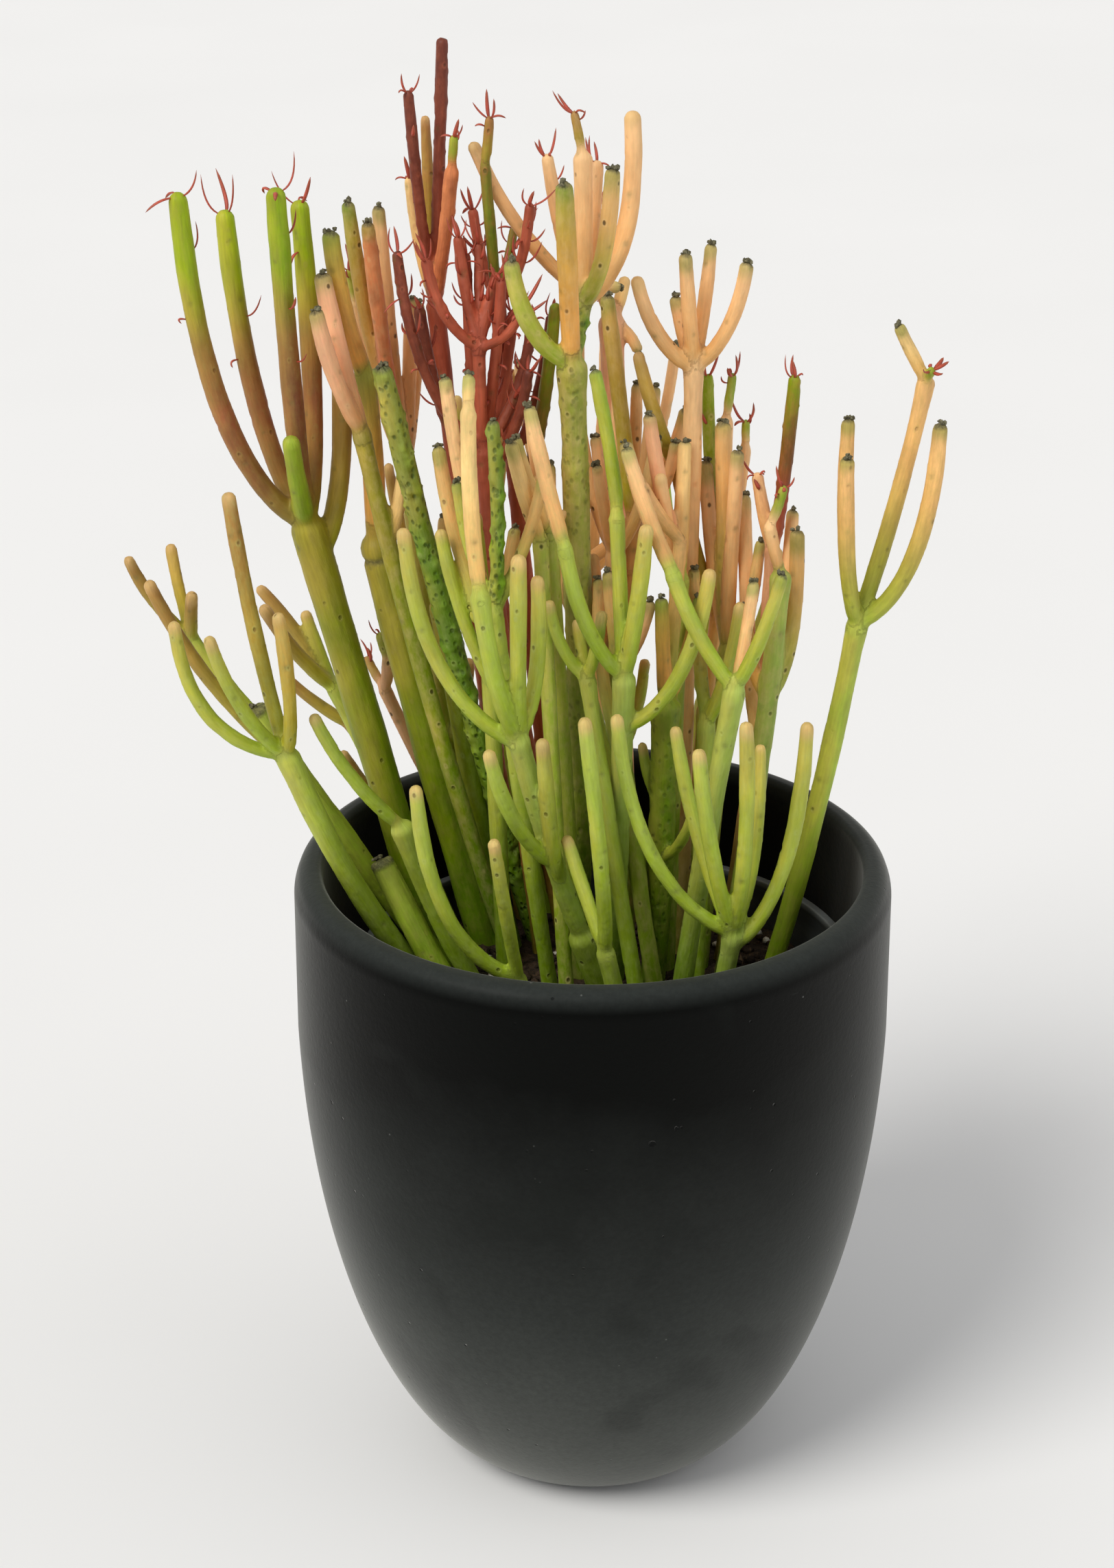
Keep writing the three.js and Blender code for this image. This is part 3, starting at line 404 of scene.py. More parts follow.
            shoot((18, 46, 305), 5, "lime round", 0.5, at=0.55),
        ])),
    cutting("stem_lean_peach", "peach_stem", (-4, 10),
        shoot((-16, 0, 371), 6.5, "lime node", 0.05, [
            shoot((-28, -8, 408), 5.5, "cream scab", 0.3),
            shoot((-23, 2, 417), 5.5, "peach scab", 0.2),
            shoot((-16, 10, 393), 5.5, "peach scab", 0.3),
            shoot((-10, 4, 378), 4.5, "green_peach round", 0.5),
        ])),
    cutting("stem_right_peaches", "peach_stem", (28, 20),
        shoot((31, 10, 350), 7.5, "lime node", 0.05, [
            shoot((11, 2, 402), 6, "peach scab", 0.35),
            shoot((20, 12, 410), 6, "pink scab", 0.2),
            shoot((33, 20, 398), 6, "cream scab", 0.15),
            shoot((17, 26, 384), 5.5, "peach scab", 0.4),
            shoot((24, -2, 390), 5.5, "peach round", 0.3),
        ])),
    cutting("stem_right_column", "peach_stem", (40, 20),
        shoot((49, 26, 316), 7.5, "lime node", 0.05, [
            shoot((46, 30, 402), 7, "green_peach scab", 0.1),
            shoot((52, 20, 395), 6, "peach scab", 0.25),
            shoot((42, 40, 385), 6, "peach scab", 0.3),
        ])),
    cutting("stem_salmon_back", "peach_stem", (14, 62),
        shoot((7, 68, 427), 10, "pink node", 0.05, [
            shoot((2, 62, 448), 5, "peach scab", 0.4),
            shoot((12, 74, 442), 5.5, "cream round", 0.4),
            shoot((17, 66, 415), 5, "peach scab", 0.6),
        ])),
    cutting("stem_low_peach", "peach_stem", (26, -6),
        shoot((9, 6, 314), 7, "lime node", 0.05, [
            shoot((4, 0, 357), 5.5, "green_peach scab", 0.3),
            shoot((10, 12, 366), 5.5, "peach scab", 0.15),
            shoot((1, 20, 356), 5, "peach round", 0.4),
            shoot((22, 8, 343), 5.5, "peach scab", 0.5),
        ])),
    cutting("stem_left_mass", "green_stem", (-28, 38),
        shoot((-51, 28, 333), 8.5, "trunk node", 0.05, [
            shoot((-56, 30, 362), 5.5, "lime scab", 0.35),
            shoot((-50, 36, 364), 5.5, "green_peach scab", 0.15),
            shoot((-42, 24, 356), 5.5, "lime round", 0.4),
        ])),
    cutting("stem_red_low", "red_stem", (-8, 38),
        shoot((-41, 40, 375), 6.5, "coral node", 0.05, [
            shoot((-44, 46, 459), 4.5, "coral leafy", 0.35),
            shoot((-35, 36, 453), 4.5, "coral leafy", 0.25),
            shoot((-23, 30, 421), 4.5, "maroon leafy", 0.6),
            shoot((-62, 38, 442), 5, "maroon leafy", 0.6),
            shoot((-29, 50, 437), 4.5, "coral leafy", 0.4),
        ])),
    cutting("stem_low_v", "green_stem", (20, -28),
        shoot((-1, -14, 321), 6.5, "lime node", 0.05, [
            shoot((-15, -12, 350), 5, "lime round", 0.7),
            shoot((4, -20, 349), 5, "lime round", 0.3),
            shoot((-5, -4, 340), 5, "lime_tan round", 0.3),
        ])),
    cutting("stem_back_left", "olive_stem", (-15, 72),
        shoot((-46, 98, 296), 7, "lime node", 0.05, [
            shoot((-78, 104, 362), 5, "bronze round", 0.8),
            shoot((-52, 120, 384), 5, "lime_tan round", 0.5),
            shoot((-30, 108, 398), 5, "bronze round", 0.3),
        ])),
    cutting("stem_back_mid", "peach_stem", (6, 74),
        shoot((0, 100, 318), 7, "green_peach node", 0.05, [
            shoot((-28, 104, 402), 5, "peach scab", 0.8),
            shoot((6, 122, 420), 5, "peach leaf", 0.4),
            shoot((32, 108, 408), 5, "peach scab", 0.7),
        ])),
    cutting("stem_back_right", "green_stem", (24, 68),
        shoot((44, 88, 270), 7, "lime node", 0.05, [
            shoot((72, 96, 330), 5, "lime_tan round", 0.8),
            shoot((48, 112, 366), 5, "lime_tan round", 0.4),
            shoot((26, 98, 372), 5, "lime round", 0.4),
        ])),
]


# ---------------------------------------------------------------- growing the cuttings

def pot_inside(height):
    """The nursery pot's inner radius at a height."""
    share = (height - POT_FOOT) / (RIM - BEAD_HEIGHT - POT_FOOT)
    return POT_BOTTOM + (POT_TOP - POT_BOTTOM) * min(1, share) - POT_WALL


def placed(tip):
    """A listed place in the present sizes."""
    spread = MOUTH / LISTED_MOUTH
    return np.array([tip[0] * spread, tip[1] * spread, SOIL + tip[2] - LISTED_SOIL])


def in_pot(place):
    """The same place, drawn in where it would stand too near the nursery pot's wall."""
    away = max(np.hypot(*(place[:2] - POT_CENTRE)), 1)
    share = min(1, (pot_inside(place[2]) - POT_CLEAR) / away)
    return np.array([*(POT_CENTRE + (place[:2] - POT_CENTRE) * share), place[2]])


def shoot_curve(start, listed):
    """A shoot's curve as a function of its share: out first and then up, the more so the more it bows."""
    end = placed(listed["tip"])
    bow = listed["bow"]
    share = np.array([0.5 + 0.4 * bow, 0.5 + 0.4 * bow, 0.5 - 0.3 * bow])
    middle = start + (end - start) * share + np.array(listed["lean"])
    return lambda t: start * (1 - t) ** 2 + middle * (2 * t * (1 - t)) + end * t * t


def grow_limbs():
    """Every shoot of every cutting, each with its parent's index and its points at rest."""
    limbs = []

    def grow(stem, parent, start, listed, depth):
        curve = shoot_curve(start, listed)
        index = len(limbs)
        skin, finish = listed["look"].split()
        limbs.append({
            "stem": stem, "parent": parent, "at": listed["at"], "depth": depth,
            "radius": listed["thick"] * PENCIL / 2, "bearing": bool(listed["grows"]),
            "skin": skin, "finish": finish,
            "rest": np.array([curve(k / STEPS) for k in range(STEPS + 1)]),
        })
        for following in listed["grows"]:
            grow(stem, index, curve(following["at"]), following, depth + 1)

    for stem, listed in enumerate(CUTTINGS):
        foot = in_pot(placed((*listed["foot"], LISTED_SOIL - BURY)))
        for first in listed["grows"]:
            grow(stem, -1, foot, first, 0)
    return limbs


def dot(a, b):
    return np.einsum("ij,ij->i", a, b)


def nearest(p, u, q, v):
    """The shares s and t of segments p+u and q+v at which they come nearest."""
    w = p - q
    a, b, c, d, e = dot(u, u), dot(u, v), dot(v, v), dot(u, w), dot(v, w)
    slant = a * c - b * b
    first = np.clip((b * e - c * d) / np.where(slant > 1e-9, slant, 1), 0, 1)
    s = np.where(slant > 1e-9, first, 0.5)
    t = np.clip((b * s + e) / c, 0, 1)
    return np.clip((b * t - d) / a, 0, 1), t


def close_pairs(limbs, rest):
    """Pairs of segments that could touch, as arrays: limb, step, limb, step, distance to keep."""
    reach, open_from = 16, 3
    radius = np.array([limb["radius"] for limb in limbs])
    stem = np.array([limb["stem"] for limb in limbs])
    parent = np.array([limb["parent"] for limb in limbs])
    i, j = np.triu_indices(len(limbs), 1)
    kin = stem[i] == stem[j]
    unlinked = ~kin | ((parent[j] != i) & (parent[i] != j))
    i, j, kin = i[unlinked], j[unlinked], kin[unlinked]
    steps = [(a, b) for a in range(STEPS) for b in range(STEPS)]
    found = []
    for a, b in steps:
        use = ~kin if min(a, b) < open_from else np.ones(len(i), bool)
        m, n = i[use], j[use]
        keep = radius[m] + radius[n] + ROOM
        p, q = rest[m, a], rest[n, b]
        u, v = rest[m, a + 1] - p, rest[n, b + 1] - q
        s, t = nearest(p, u, q, v)
        gap = np.linalg.norm(p + u * s[:, None] - q - v * t[:, None], axis=1)
        near = gap < keep + reach
        count = int(near.sum())
        found.append((m[near], np.full(count, a), n[near], np.full(count, b), keep[near]))
    return [np.concatenate(column) for column in zip(*found)]


MOUTHS = [
    (np.zeros(2), MOUTH, RADIUS, HEIGHT),
    (POT_CENTRE, POT_TOP - POT_WALL, POT_TOP + POT_BEAD, RIM),
]


def inside_lip(radius, p, mouth):
    """The moves that bring points back inside a mouth, or up off its lip."""
    centre, inner, outer, top = mouth
    reach = radius + 2 * ROOM
    side = p[:, :2] - centre
    away = np.hypot(side[:, 0], side[:, 1])
    below = top + reach - p[:, 2]
    over = away + reach - inner
    move = np.zeros_like(p)
    touching = (below > 0) & (over > 0)
    outside = touching & (away > outer)
    within = touching & ~outside
    move[outside, 2] = below[outside]
    move[within, :2] = -side[within] / away[within, None] * over[within, None]
    return move


def make_room(limbs):
    """Bends the shoots gently apart until none touches another cutting or a lip."""
    rounds, smoothing, push = 260, 0.5, 0.45
    rest = np.array([limb["rest"] for limb in limbs])
    points = rest.copy()
    radius = np.array([limb["radius"] for limb in limbs])
    parent = np.array([limb["parent"] for limb in limbs])
    place = np.minimum(np.array([limb["at"] for limb in limbs]) * STEPS, STEPS - 1e-9)
    before = np.floor(place).astype(int)
    share = (place - before)[:, None]
    depths = np.array([limb["depth"] for limb in limbs])
    i, a, j, b, keep = close_pairs(limbs, rest)
    for _ in range(rounds):
        moves = np.zeros_like(points)
        p, q = points[i, a], points[j, b]
        u, v = points[i, a + 1] - p, points[j, b + 1] - q
        s, t = nearest(p, u, q, v)
        apart = p + u * s[:, None] - q - v * t[:, None]
        distance = np.linalg.norm(apart, axis=1)
        strength = np.where(distance < keep, push * (keep - distance) / np.maximum(distance, 0.01), 0)
        apart *= strength[:, None]
        np.add.at(moves, (i, a), apart * (1 - s)[:, None])
        np.add.at(moves, (i, a + 1), apart * s[:, None])
        np.add.at(moves, (j, b), apart * (t - 1)[:, None])
        np.add.at(moves, (j, b + 1), -apart * t[:, None])
        for k in range(STEPS):
            for part in (0.25, 0.5, 0.75, 1):
                for mouth in MOUTHS:
                    middle = points[:, k] * (1 - part) + points[:, k + 1] * part
                    move = inside_lip(radius, middle, mouth)
                    moves[:, k] += move * (1 - part)
                    moves[:, k + 1] += move * part
        for depth in range(depths.max() + 1):
            own = np.flatnonzero(depths == depth)
            shift = points[own] + moves[own] - rest[own]
            shift[:, 0] = 0
            if depth:
                bearer, step = parent[own], before[own]
                low = points[bearer, step] - rest[bearer, step]
                high = points[bearer, step + 1] - rest[bearer, step + 1]
                shift[:, 0] = low + (high - low) * share[own]
            even = shift.copy()
            beyond = np.concatenate([shift[:, 2:], shift[:, -1:]], axis=1)
            even[:, 1:] += ((shift[:, :-1] + beyond) / 2 - shift[:, 1:]) * smoothing
            points[own] = rest[own] + even
    for limb, own in zip(limbs, points):
        limb["points"] = own


def smooth_path(points, fine=5):
    """A centripetal Catmull-Rom curve through the points, and its running length."""
    ends = np.vstack([2 * points[0] - points[1], points, 2 * points[-1] - points[-2]])
    knots = np.sqrt(np.linalg.norm(np.diff(ends, axis=0), axis=1))
    path = [points[0]]
    for k in range(len(points) - 1):
        p0, p1, p2, p3 = ends[k:k + 4]
        d0, d1, d2 = knots[k:k + 3]
        m1 = ((p1 - p0) / d0 - (p2 - p0) / (d0 + d1) + (p2 - p1) / d1) * d1
        m2 = ((p2 - p1) / d1 - (p3 - p1) / (d1 + d2) + (p3 - p2) / d2) * d1
        for step in range(1, fine + 1):
            t = step / fine
            path.append(
                (2 * t**3 - 3 * t**2 + 1) * p1 + (t**3 - 2 * t**2 + t) * m1
                + (3 * t**2 - 2 * t**3) * p2 + (t**3 - t**2) * m2)
    path = np.array(path)
    length = np.concatenate([[0], np.cumsum(np.linalg.norm(np.diff(path, axis=0), axis=1))])
    return path, length


def lay_paths(limbs):
    """Gives every limb its curve, sunk into its parent and past its own joint as in the CAD."""
    for limb in limbs:
        points = limb["points"].copy()
        reach = 0.6 * limb["radius"]
        if limb["parent"] >= 0:
            points[0] += (points[0] - points[1]) * reach / np.linalg.norm(points[0] - points[1])
        if limb["bearing"]:
            last = points[-1] - points[-2]
            points[-1] += last * reach / np.linalg.norm(last)
        limb["path"], limb["along"] = smooth_path(points)


# ---------------------------------------------------------------- numbers and noise

def rng_for(*keys):
    return np.random.default_rng([abs(int(key)) for key in keys])


def lattice(cells, seed):
    """A repeatable random number from 0 to 1 at each whole-number place."""
    x, y, z = (cells[:, k].astype(np.int64) for k in range(3))
    mixed = (x * 73856093) ^ (y * 19349663) ^ (z * 83492791) ^ (seed * 2654435761)
    mixed = (mixed ^ (mixed >> 13)) * 1274126177
    return ((mixed ^ (mixed >> 16)) & 0xFFFF) / 65535.0


def value_noise(places, size, seed):
    """Smooth noise from -1 to 1 over places, with lumps about `size` across."""
    scaled = places / size
    cell = np.floor(scaled)
    part = scaled - cell
    part = part * part * (3 - 2 * part)
    total = np.zeros(len(places))
    for corner in np.ndindex(2, 2, 2):
        weight = np.prod(np.where(corner, part, 1 - part), axis=1)
        total += weight * lattice(cell + corner, seed)
    return total * 2 - 1


def smoothstep(low, high, x):
    t = np.clip((x - low) / (high - low), 0, 1)
    return t * t * (3 - 2 * t)


def hex_colour(code):
    """A linear colour from an sRGB hex code."""
    channels = np.array([int(code[k:k + 2], 16) for k in (0, 2, 4)]) / 255
    return np.where(channels <= 0.04045, channels / 12.92, ((channels + 0.055) / 1.055) ** 2.4)


# ---------------------------------------------------------------- skins

# Each skin's colours along a shoot, from a little above its joint to its tip.
SKINS = {
    "trunk": ("6C8A20", "708A20", "7C8A26", "8E8634"),
    "lime": ("8EA43A", "96AA40", "9DB04A", "A4B254"),
    "lime_grey": ("86A040", "8EA448", "96AA54", "9CAE58"),
    "lime_tan": ("92A63A", "98A842", "A2AA4A", "B2A858"),
    "bright": ("86983A", "839C34", "8AA038", "90A43E"),
    "tan": ("989838", "A6963E", "B2954A", "BE9C5C"),
    "bronze": ("8E9634", "968A38", "9A7C3E", "926A40"),
    "blush": ("847C30", "8A6038", "8C5236", "8A6A34", "8CA22A", "94AA2C"),
    "blush_dark": ("7C7030", "7C5232", "784430", "7A5A30", "7E9A28", "88A02A"),
    "greygreen": ("76902C", "869C3E", "98A050", "868E3E"),
    "dark": ("566F1C", "5E7620", "668026", "7A8A30"),
    "warty": ("72902E", "648626", "5E8026", "84883E"),
    "moss": ("70722A", "647820", "647622", "6E6C2A"),
    "green_peach": ("8C9E40", "A69E4C", "D4A86C", "DEB27C"),
    "peach_green": ("CC9450", "D49C58", "C29A50", "8C9040"),
    "peach": ("CEA064", "DAA872", "E2B280", "E6BC8E"),
    "cream": ("D2A868", "DCB476", "E2C086", "E0BC84"),
    "pink": ("D09A66", "DEA47C", "E4AC88", "D8A480"),
    "salmon": ("C47048", "D08058", "D4885E", "CC8056"),
    "coral": ("9A4A38", "A8543E", "B05C46", "984A38"),
    "maroon": ("904834", "80402E", "703628", "623024"),
    "fire": ("A0583A", "863A2A", "746024", "7E8E24"),
    "flame": ("803E26", "7C6428", "7A8C2A", "849A30"),
}
SKINS = {name: np.array([hex_colour(code) for code in codes]) for name, codes in SKINS.items()}
PEACHY = {"peach", "cream", "pink", "green_peach", "peach_green", "tan"}
FIERY = {"coral", "maroon", "salmon", "fire", "flame"}
WARTY = {"warty", "dark", "greygreen"}
GREEN_TO_TIP = {"bright", "flame", "fire", "maroon"}  # skins whose round tips don't turn pale
GREY_SHARES = [[0.21], [0.72], [0.07]]  # of red, green and blue in how light a colour looks
VIVID = 1.1  # how far the skin colours are pushed away from grey
BRIGHT = 1.22  # and how much they are lightened
SCAB = hex_colour("716C50")
SCAR = hex_colour("5A5A34")
GROUND = hex_colour("577316")
PALE_TIP = hex_colour("C9A774")
GREEN_TIP = hex_colour("74863A")
# tan for the side facing the key light: partly the skin's own tan, partly a painted highlight
LIT_SIDE_TAN = hex_colour("C9A25A")
BRUISE = hex_colour("5E2C1E")
RUST = hex_colour("B4703A")


def skin_along(limb, share):
    """A limb's own colours at shares of its length."""
    stops = SKINS[limb["skin"]]
    place = np.clip(share, 0, 1) * (len(stops) - 1)
    return np.stack([np.interp(place, range(len(stops)), stops[:, c]) for c in range(3)], axis=1)


# ---------------------------------------------------------------- stems

VOXEL = 0.9
TUBE_SIDES = 12
BLEND = 0.5  # how softly one limb's skin runs into the next


def limb_radius(limb, along):
    """The shoot's radius at distances along it: a slim start, a swollen joint, a round tip."""
    length = limb["along"][-1]
    r = limb["radius"]
    rng = rng_for(limb["stem"], along.size, int(length * 10))
    wave = 0.03 * np.sin(along / rng.uniform(7, 11) + rng.uniform(0, 6))
    radius = r * (1 + wave)
    if limb["parent"] >= 0:
        radius *= 1 - 0.12 * (1 - smoothstep(0.5 * r, 2.6 * r, along))
    if limb["bearing"]:
        radius *= 1 + (0.13 if r < 5.5 else 0.02) * smoothstep(length - 3 * r, length - r, along)
    else:
        radius *= 1 - 0.08 * smoothstep(length - 6 * r, length - r, along)
    reach = 0.95 * r if not limb["finish"] == "cut" else 0.25 * r
    cap = np.clip((length - along) / reach, 0, 1)
    return radius * np.sqrt(np.maximum(1 - (1 - cap) ** 2, 0))


def path_at(limb, along):
    return np.stack([np.interp(along, limb["along"], limb["path"][:, c]) for c in range(3)], axis=1)


def add_tube(bm, limb):
    """A closed tube along a limb, added to a bmesh."""
    length = limb["along"][-1]
    r = limb["radius"]
    body = np.linspace(0, length - r, max(6, int(length / 4)))
    tip = length - r * np.array([0.8, 0.6, 0.42, 0.27, 0.15, 0.06])
    along = np.concatenate([body, tip])
    radius = np.maximum(limb_radius(limb, along), 0.3)
    centre = path_at(limb, along)
    heading = np.gradient(centre, axis=0)
    heading /= np.linalg.norm(heading, axis=1)[:, None]
    side = np.cross(heading[0], [0.3, 1.0, 0.2])
    rings = []
    for c, h, rad in zip(centre, heading, radius):
        side = side - h * np.dot(side, h)
        side /= np.linalg.norm(side)
        across = np.cross(h, side)
        ring = []
        for k in range(TUBE_SIDES):
            turn = 2 * math.pi * k / TUBE_SIDES
            ring.append(bm.verts.new((c + rad * (side * math.cos(turn) + across * math.sin(turn))) * MM))
        rings.append(ring)
    for low, high in zip(rings, rings[1:]):
        for k in range(TUBE_SIDES):
            n = (k + 1) % TUBE_SIDES
            bm.faces.new((low[k], low[n], high[n], high[k]))
    bm.faces.new(rings[0][::-1])
    bm.faces.new(rings[-1])


def new_object(name, data):
    made = bpy.data.objects.new(name, data)
    bpy.context.scene.collection.objects.link(made)
    return made


def from_bmesh(bm, name):
    """An object from a bmesh, or None if it is empty."""
    if not bm.faces:
        bm.free()
        return None
    mesh = bpy.data.meshes.new(name)
    bm.to_mesh(mesh)
    bm.free()
    mesh.shade_smooth()
    return new_object(name, mesh)


def fused(name, limbs):
    """The limbs of one cutting as one remeshed skin."""
    bm = bmesh.new()
    for limb in limbs:
        add_tube(bm, limb)
    made = from_bmesh(bm, name)
    remesh = made.modifiers.new("one skin", "REMESH")
    remesh.mode = "VOXEL"
    remesh.voxel_size = VOXEL * MM
    remesh.use_smooth_shade = True
    return apply_modifiers(made)


def apply_modifiers(made):
    """Replaces an object's mesh by its evaluated one."""
    graph = bpy.context.evaluated_depsgraph_get()
    mesh = bpy.data.meshes.new_from_object(made.evaluated_get(graph))
    old = made.data
    made.modifiers.clear()
    made.data = mesh
    mesh.name = made.name
    bpy.data.meshes.remove(old)
    return made


def vertices_of(mesh):
    flat = np.empty(len(mesh.vertices) * 3, np.float32)
    mesh.vertices.foreach_get("co", flat)
    return flat.reshape(-1, 3).astype(float) / MM


def set_vertices(mesh, places):
    mesh.vertices.foreach_set("co", (places * MM).astype(np.float32).ravel())
    mesh.update()


def edges_of(mesh):
    flat = np.empty(len(mesh.edges) * 2, np.int32)
    mesh.edges.foreach_get("vertices", flat)
    return flat.reshape(-1, 2)


def normals_of(mesh):
    flat = np.empty(len(mesh.vertices) * 3, np.float32)
    mesh.vertex_normals.foreach_get("vector", flat)
    return flat.reshape(-1, 3).astype(float)


def relax(places, edges, weight, rounds):
    """Laplacian smoothing of the vertices, each by its own weight."""
    count = np.bincount(edges.ravel(), minlength=len(places))[:, None]
    for _ in range(rounds):
        total = np.zeros_like(places)
        for c in range(3):
            total[:, c] = (
                np.bincount(edges[:, 0], places[edges[:, 1], c], len(places))
                + np.bincount(edges[:, 1], places[edges[:, 0], c], len(places)))
        places = places + (total / np.maximum(count, 1) - places) * weight[:, None]
    return places


def project(limb, places):
    """For each place: the distance to the limb's axis, how far along it, and the way out from it."""
    path, along = limb["path"], limb["along"]
    best = np.full(len(places), np.inf)
    where = np.zeros(len(places))
    foot = np.zeros_like(places)
    for k in range(len(path) - 1):
        step = path[k + 1] - path[k]
        size = along[k + 1] - along[k]
        t = np.clip((places - path[k]) @ step / (size * size), 0, 1)
        spot = path[k] + t[:, None] * step
        gap = np.linalg.norm(places - spot, axis=1)
        closer = gap < best
        best[closer] = gap[closer]
        where[closer] = along[k] + t[closer] * size
        foot[closer] = spot[closer]
    out = places - foot
    return best, where, out / np.maximum(best, 1e-6)[:, None]


def spots(limb, key, spacing, start=0.0):
    """Random places on a limb's skin: [distance along, angle, size]."""
    length = limb["along"][-1]
    rng = rng_for(key, limb["stem"], int(length * 100))
    count = int((length - start) / spacing * rng.uniform(0.7, 1.3))
    return np.stack([
        rng.uniform(start, length, count), rng.uniform(0, 2 * math.pi, count), rng.uniform(0.6, 1.3, count),
    ], axis=1)


def spot_field(limb, where, angle, listed, wide):
    """How strongly each vertex lies in one of the listed spots, 0 to 1."""
    field = np.zeros(len(where))
    for along, turn, size in listed:
        around = (angle - turn + math.pi) % (2 * math.pi) - math.pi
        gap = np.hypot(where - along, around * limb["radius"]) / (wide * size)
        field = np.maximum(field, np.exp(-gap * gap))
    return field


def paint_attribute(mesh, name, values):
    kind = "FLOAT_COLOR" if values.shape[1] == 4 else "FLOAT_VECTOR"
    key = "color" if kind == "FLOAT_COLOR" else "vector"
    layer = mesh.attributes.new(name, kind, "POINT")
    layer.data.foreach_set(key, values.astype(np.float32).ravel())


def limb_skin(limb, limbs, where, angle, places, out, seed):
    """A limb's colour, scab, wartiness and outward displacement at each vertex."""
    r = limb["radius"]
    from_tip = limb["along"][-1] - where
    colour = skin_along(limb, where / limb["along"][-1])
    scab = np.zeros(len(where))
    patch = value_noise(places * [1, 1, 0.5], 9, seed + 1)
    # A branch takes on its bearer's colour at the joint, and a first shoot is green near the soil.
    if limb["parent"] >= 0:
        bearer = limbs[limb["parent"]]
        start = skin_along(bearer, np.full(1, min(1.0, limb["at"])))
        colour += (start - colour) * (1 - smoothstep(0, 9, where + 3 * patch))[:, None]
        crusty = limb["skin"] in PEACHY or bearer["skin"] in PEACHY
        ring = np.exp(-((where - 0.5 * r) / 1.1) ** 2) * smoothstep(-0.3, 0.5, patch)
        scab += ring * (0.7 if crusty else 0.25)
    else:
        colour += (GROUND - colour) * (0.75 * (1 - smoothstep(0, 120, where)))[:, None]
    colour *= (1 + 0.10 * patch)[:, None]
    # Green skins tan on their sunny side. The tan is laid on the side that faces the key light, so it is
    # partly the skin's own tan and partly a painted highlight.
    lit_side = smoothstep(0.1, 0.9, out @ np.array([-0.5, -0.45, 0.5]) + 0.35 * patch)
    if limb["skin"] not in PEACHY and limb["skin"] not in FIERY:
        colour += (LIT_SIDE_TAN - colour) * (0.34 * lit_side * smoothstep(20, 90, places[:, 2] - SOIL))[:, None]
    # Shallow waves and leaf scars, then warts, bumps and marks on the skins that have them.
    lift = 0.13 * value_noise(places * [1, 1, 0.4], 4, seed)
    scars = spot_field(limb, where, angle, spots(limb, 1, 11, 5), 0.9)
    colour += (SCAR - colour) * (0.5 * scars)[:, None]
    lift -= 0.32 * scars
    warts = 0.0
    if limb["skin"] in WARTY:
        warts = 1.0 if limb["skin"] == "warty" else 0.5
        bumps = spot_field(limb, where, angle, spots(limb, 2, 2.0), 1.6)
        hollows = spot_field(limb, where, angle, spots(limb, 5, 3.0), 1.25)
        lift += 0.8 * warts * bumps - 1.1 * warts * hollows
        colour *= (1 + warts * (0.22 * bumps - 0.45 * hollows))[:, None]
    if limb["skin"] in FIERY:
        bumps = spot_field(limb, where, angle, spots(limb, 6, 3.2), 1.3)
        lift += 0.35 * bumps
        blotch = smoothstep(0.25, 0.6, value_noise(places * [1, 1, 0.6], 5, seed + 5))
        colour += (BRUISE - colour) * (0.28 * blotch)[:, None]
    if limb["skin"] in PEACHY and r > 3.4:
        marks = spot_field(limb, where, angle, spots(limb, 7, 16, 6), 1.5)
        colour += (RUST - colour) * (0.5 * marks)[:, None]
    # The end: pale and round, dried to a scab with a green patch below, ringed, or cut.
    if limb["finish"] == "round" and limb["skin"] not in GREEN_TO_TIP:
        tip = 1 - smoothstep(0.6 * r, 2.6 * r, from_tip + 2 * patch)
        colour += (PALE_TIP - colour) * (0.75 * tip)[:, None]
    if limb["finish"] == "scab":
        green = 1 - smoothstep(0.8 * r, 3.2 * r, from_tip + 5 * patch)
        colour += (GREEN_TIP - colour) * (0.6 * green)[:, None]
        crust = 1 - smoothstep(0.15 * r, 0.75 * r, from_tip + 0.8 * value_noise(places, 2.5, seed + 2))
        scab += crust
        lift += crust * (0.4 * value_noise(places, 1.7, seed + 3) - 0.3)
    if limb["finish"] == "ring":
        ring = np.exp(-((from_tip - 1.5 * r) / 1.2) ** 2)
        lift -= 0.8 * ring
        scab += 0.8 * ring
    if limb["finish"] == "cut":
        scab += 1 - smoothstep(0.35 * r, 0.8 * r, from_tip)
        lift += 0.3 * scab * value_noise(places, 2.2, seed + 4)
    return colour, np.clip(scab, 0, 1), np.full(len(where), warts), lift


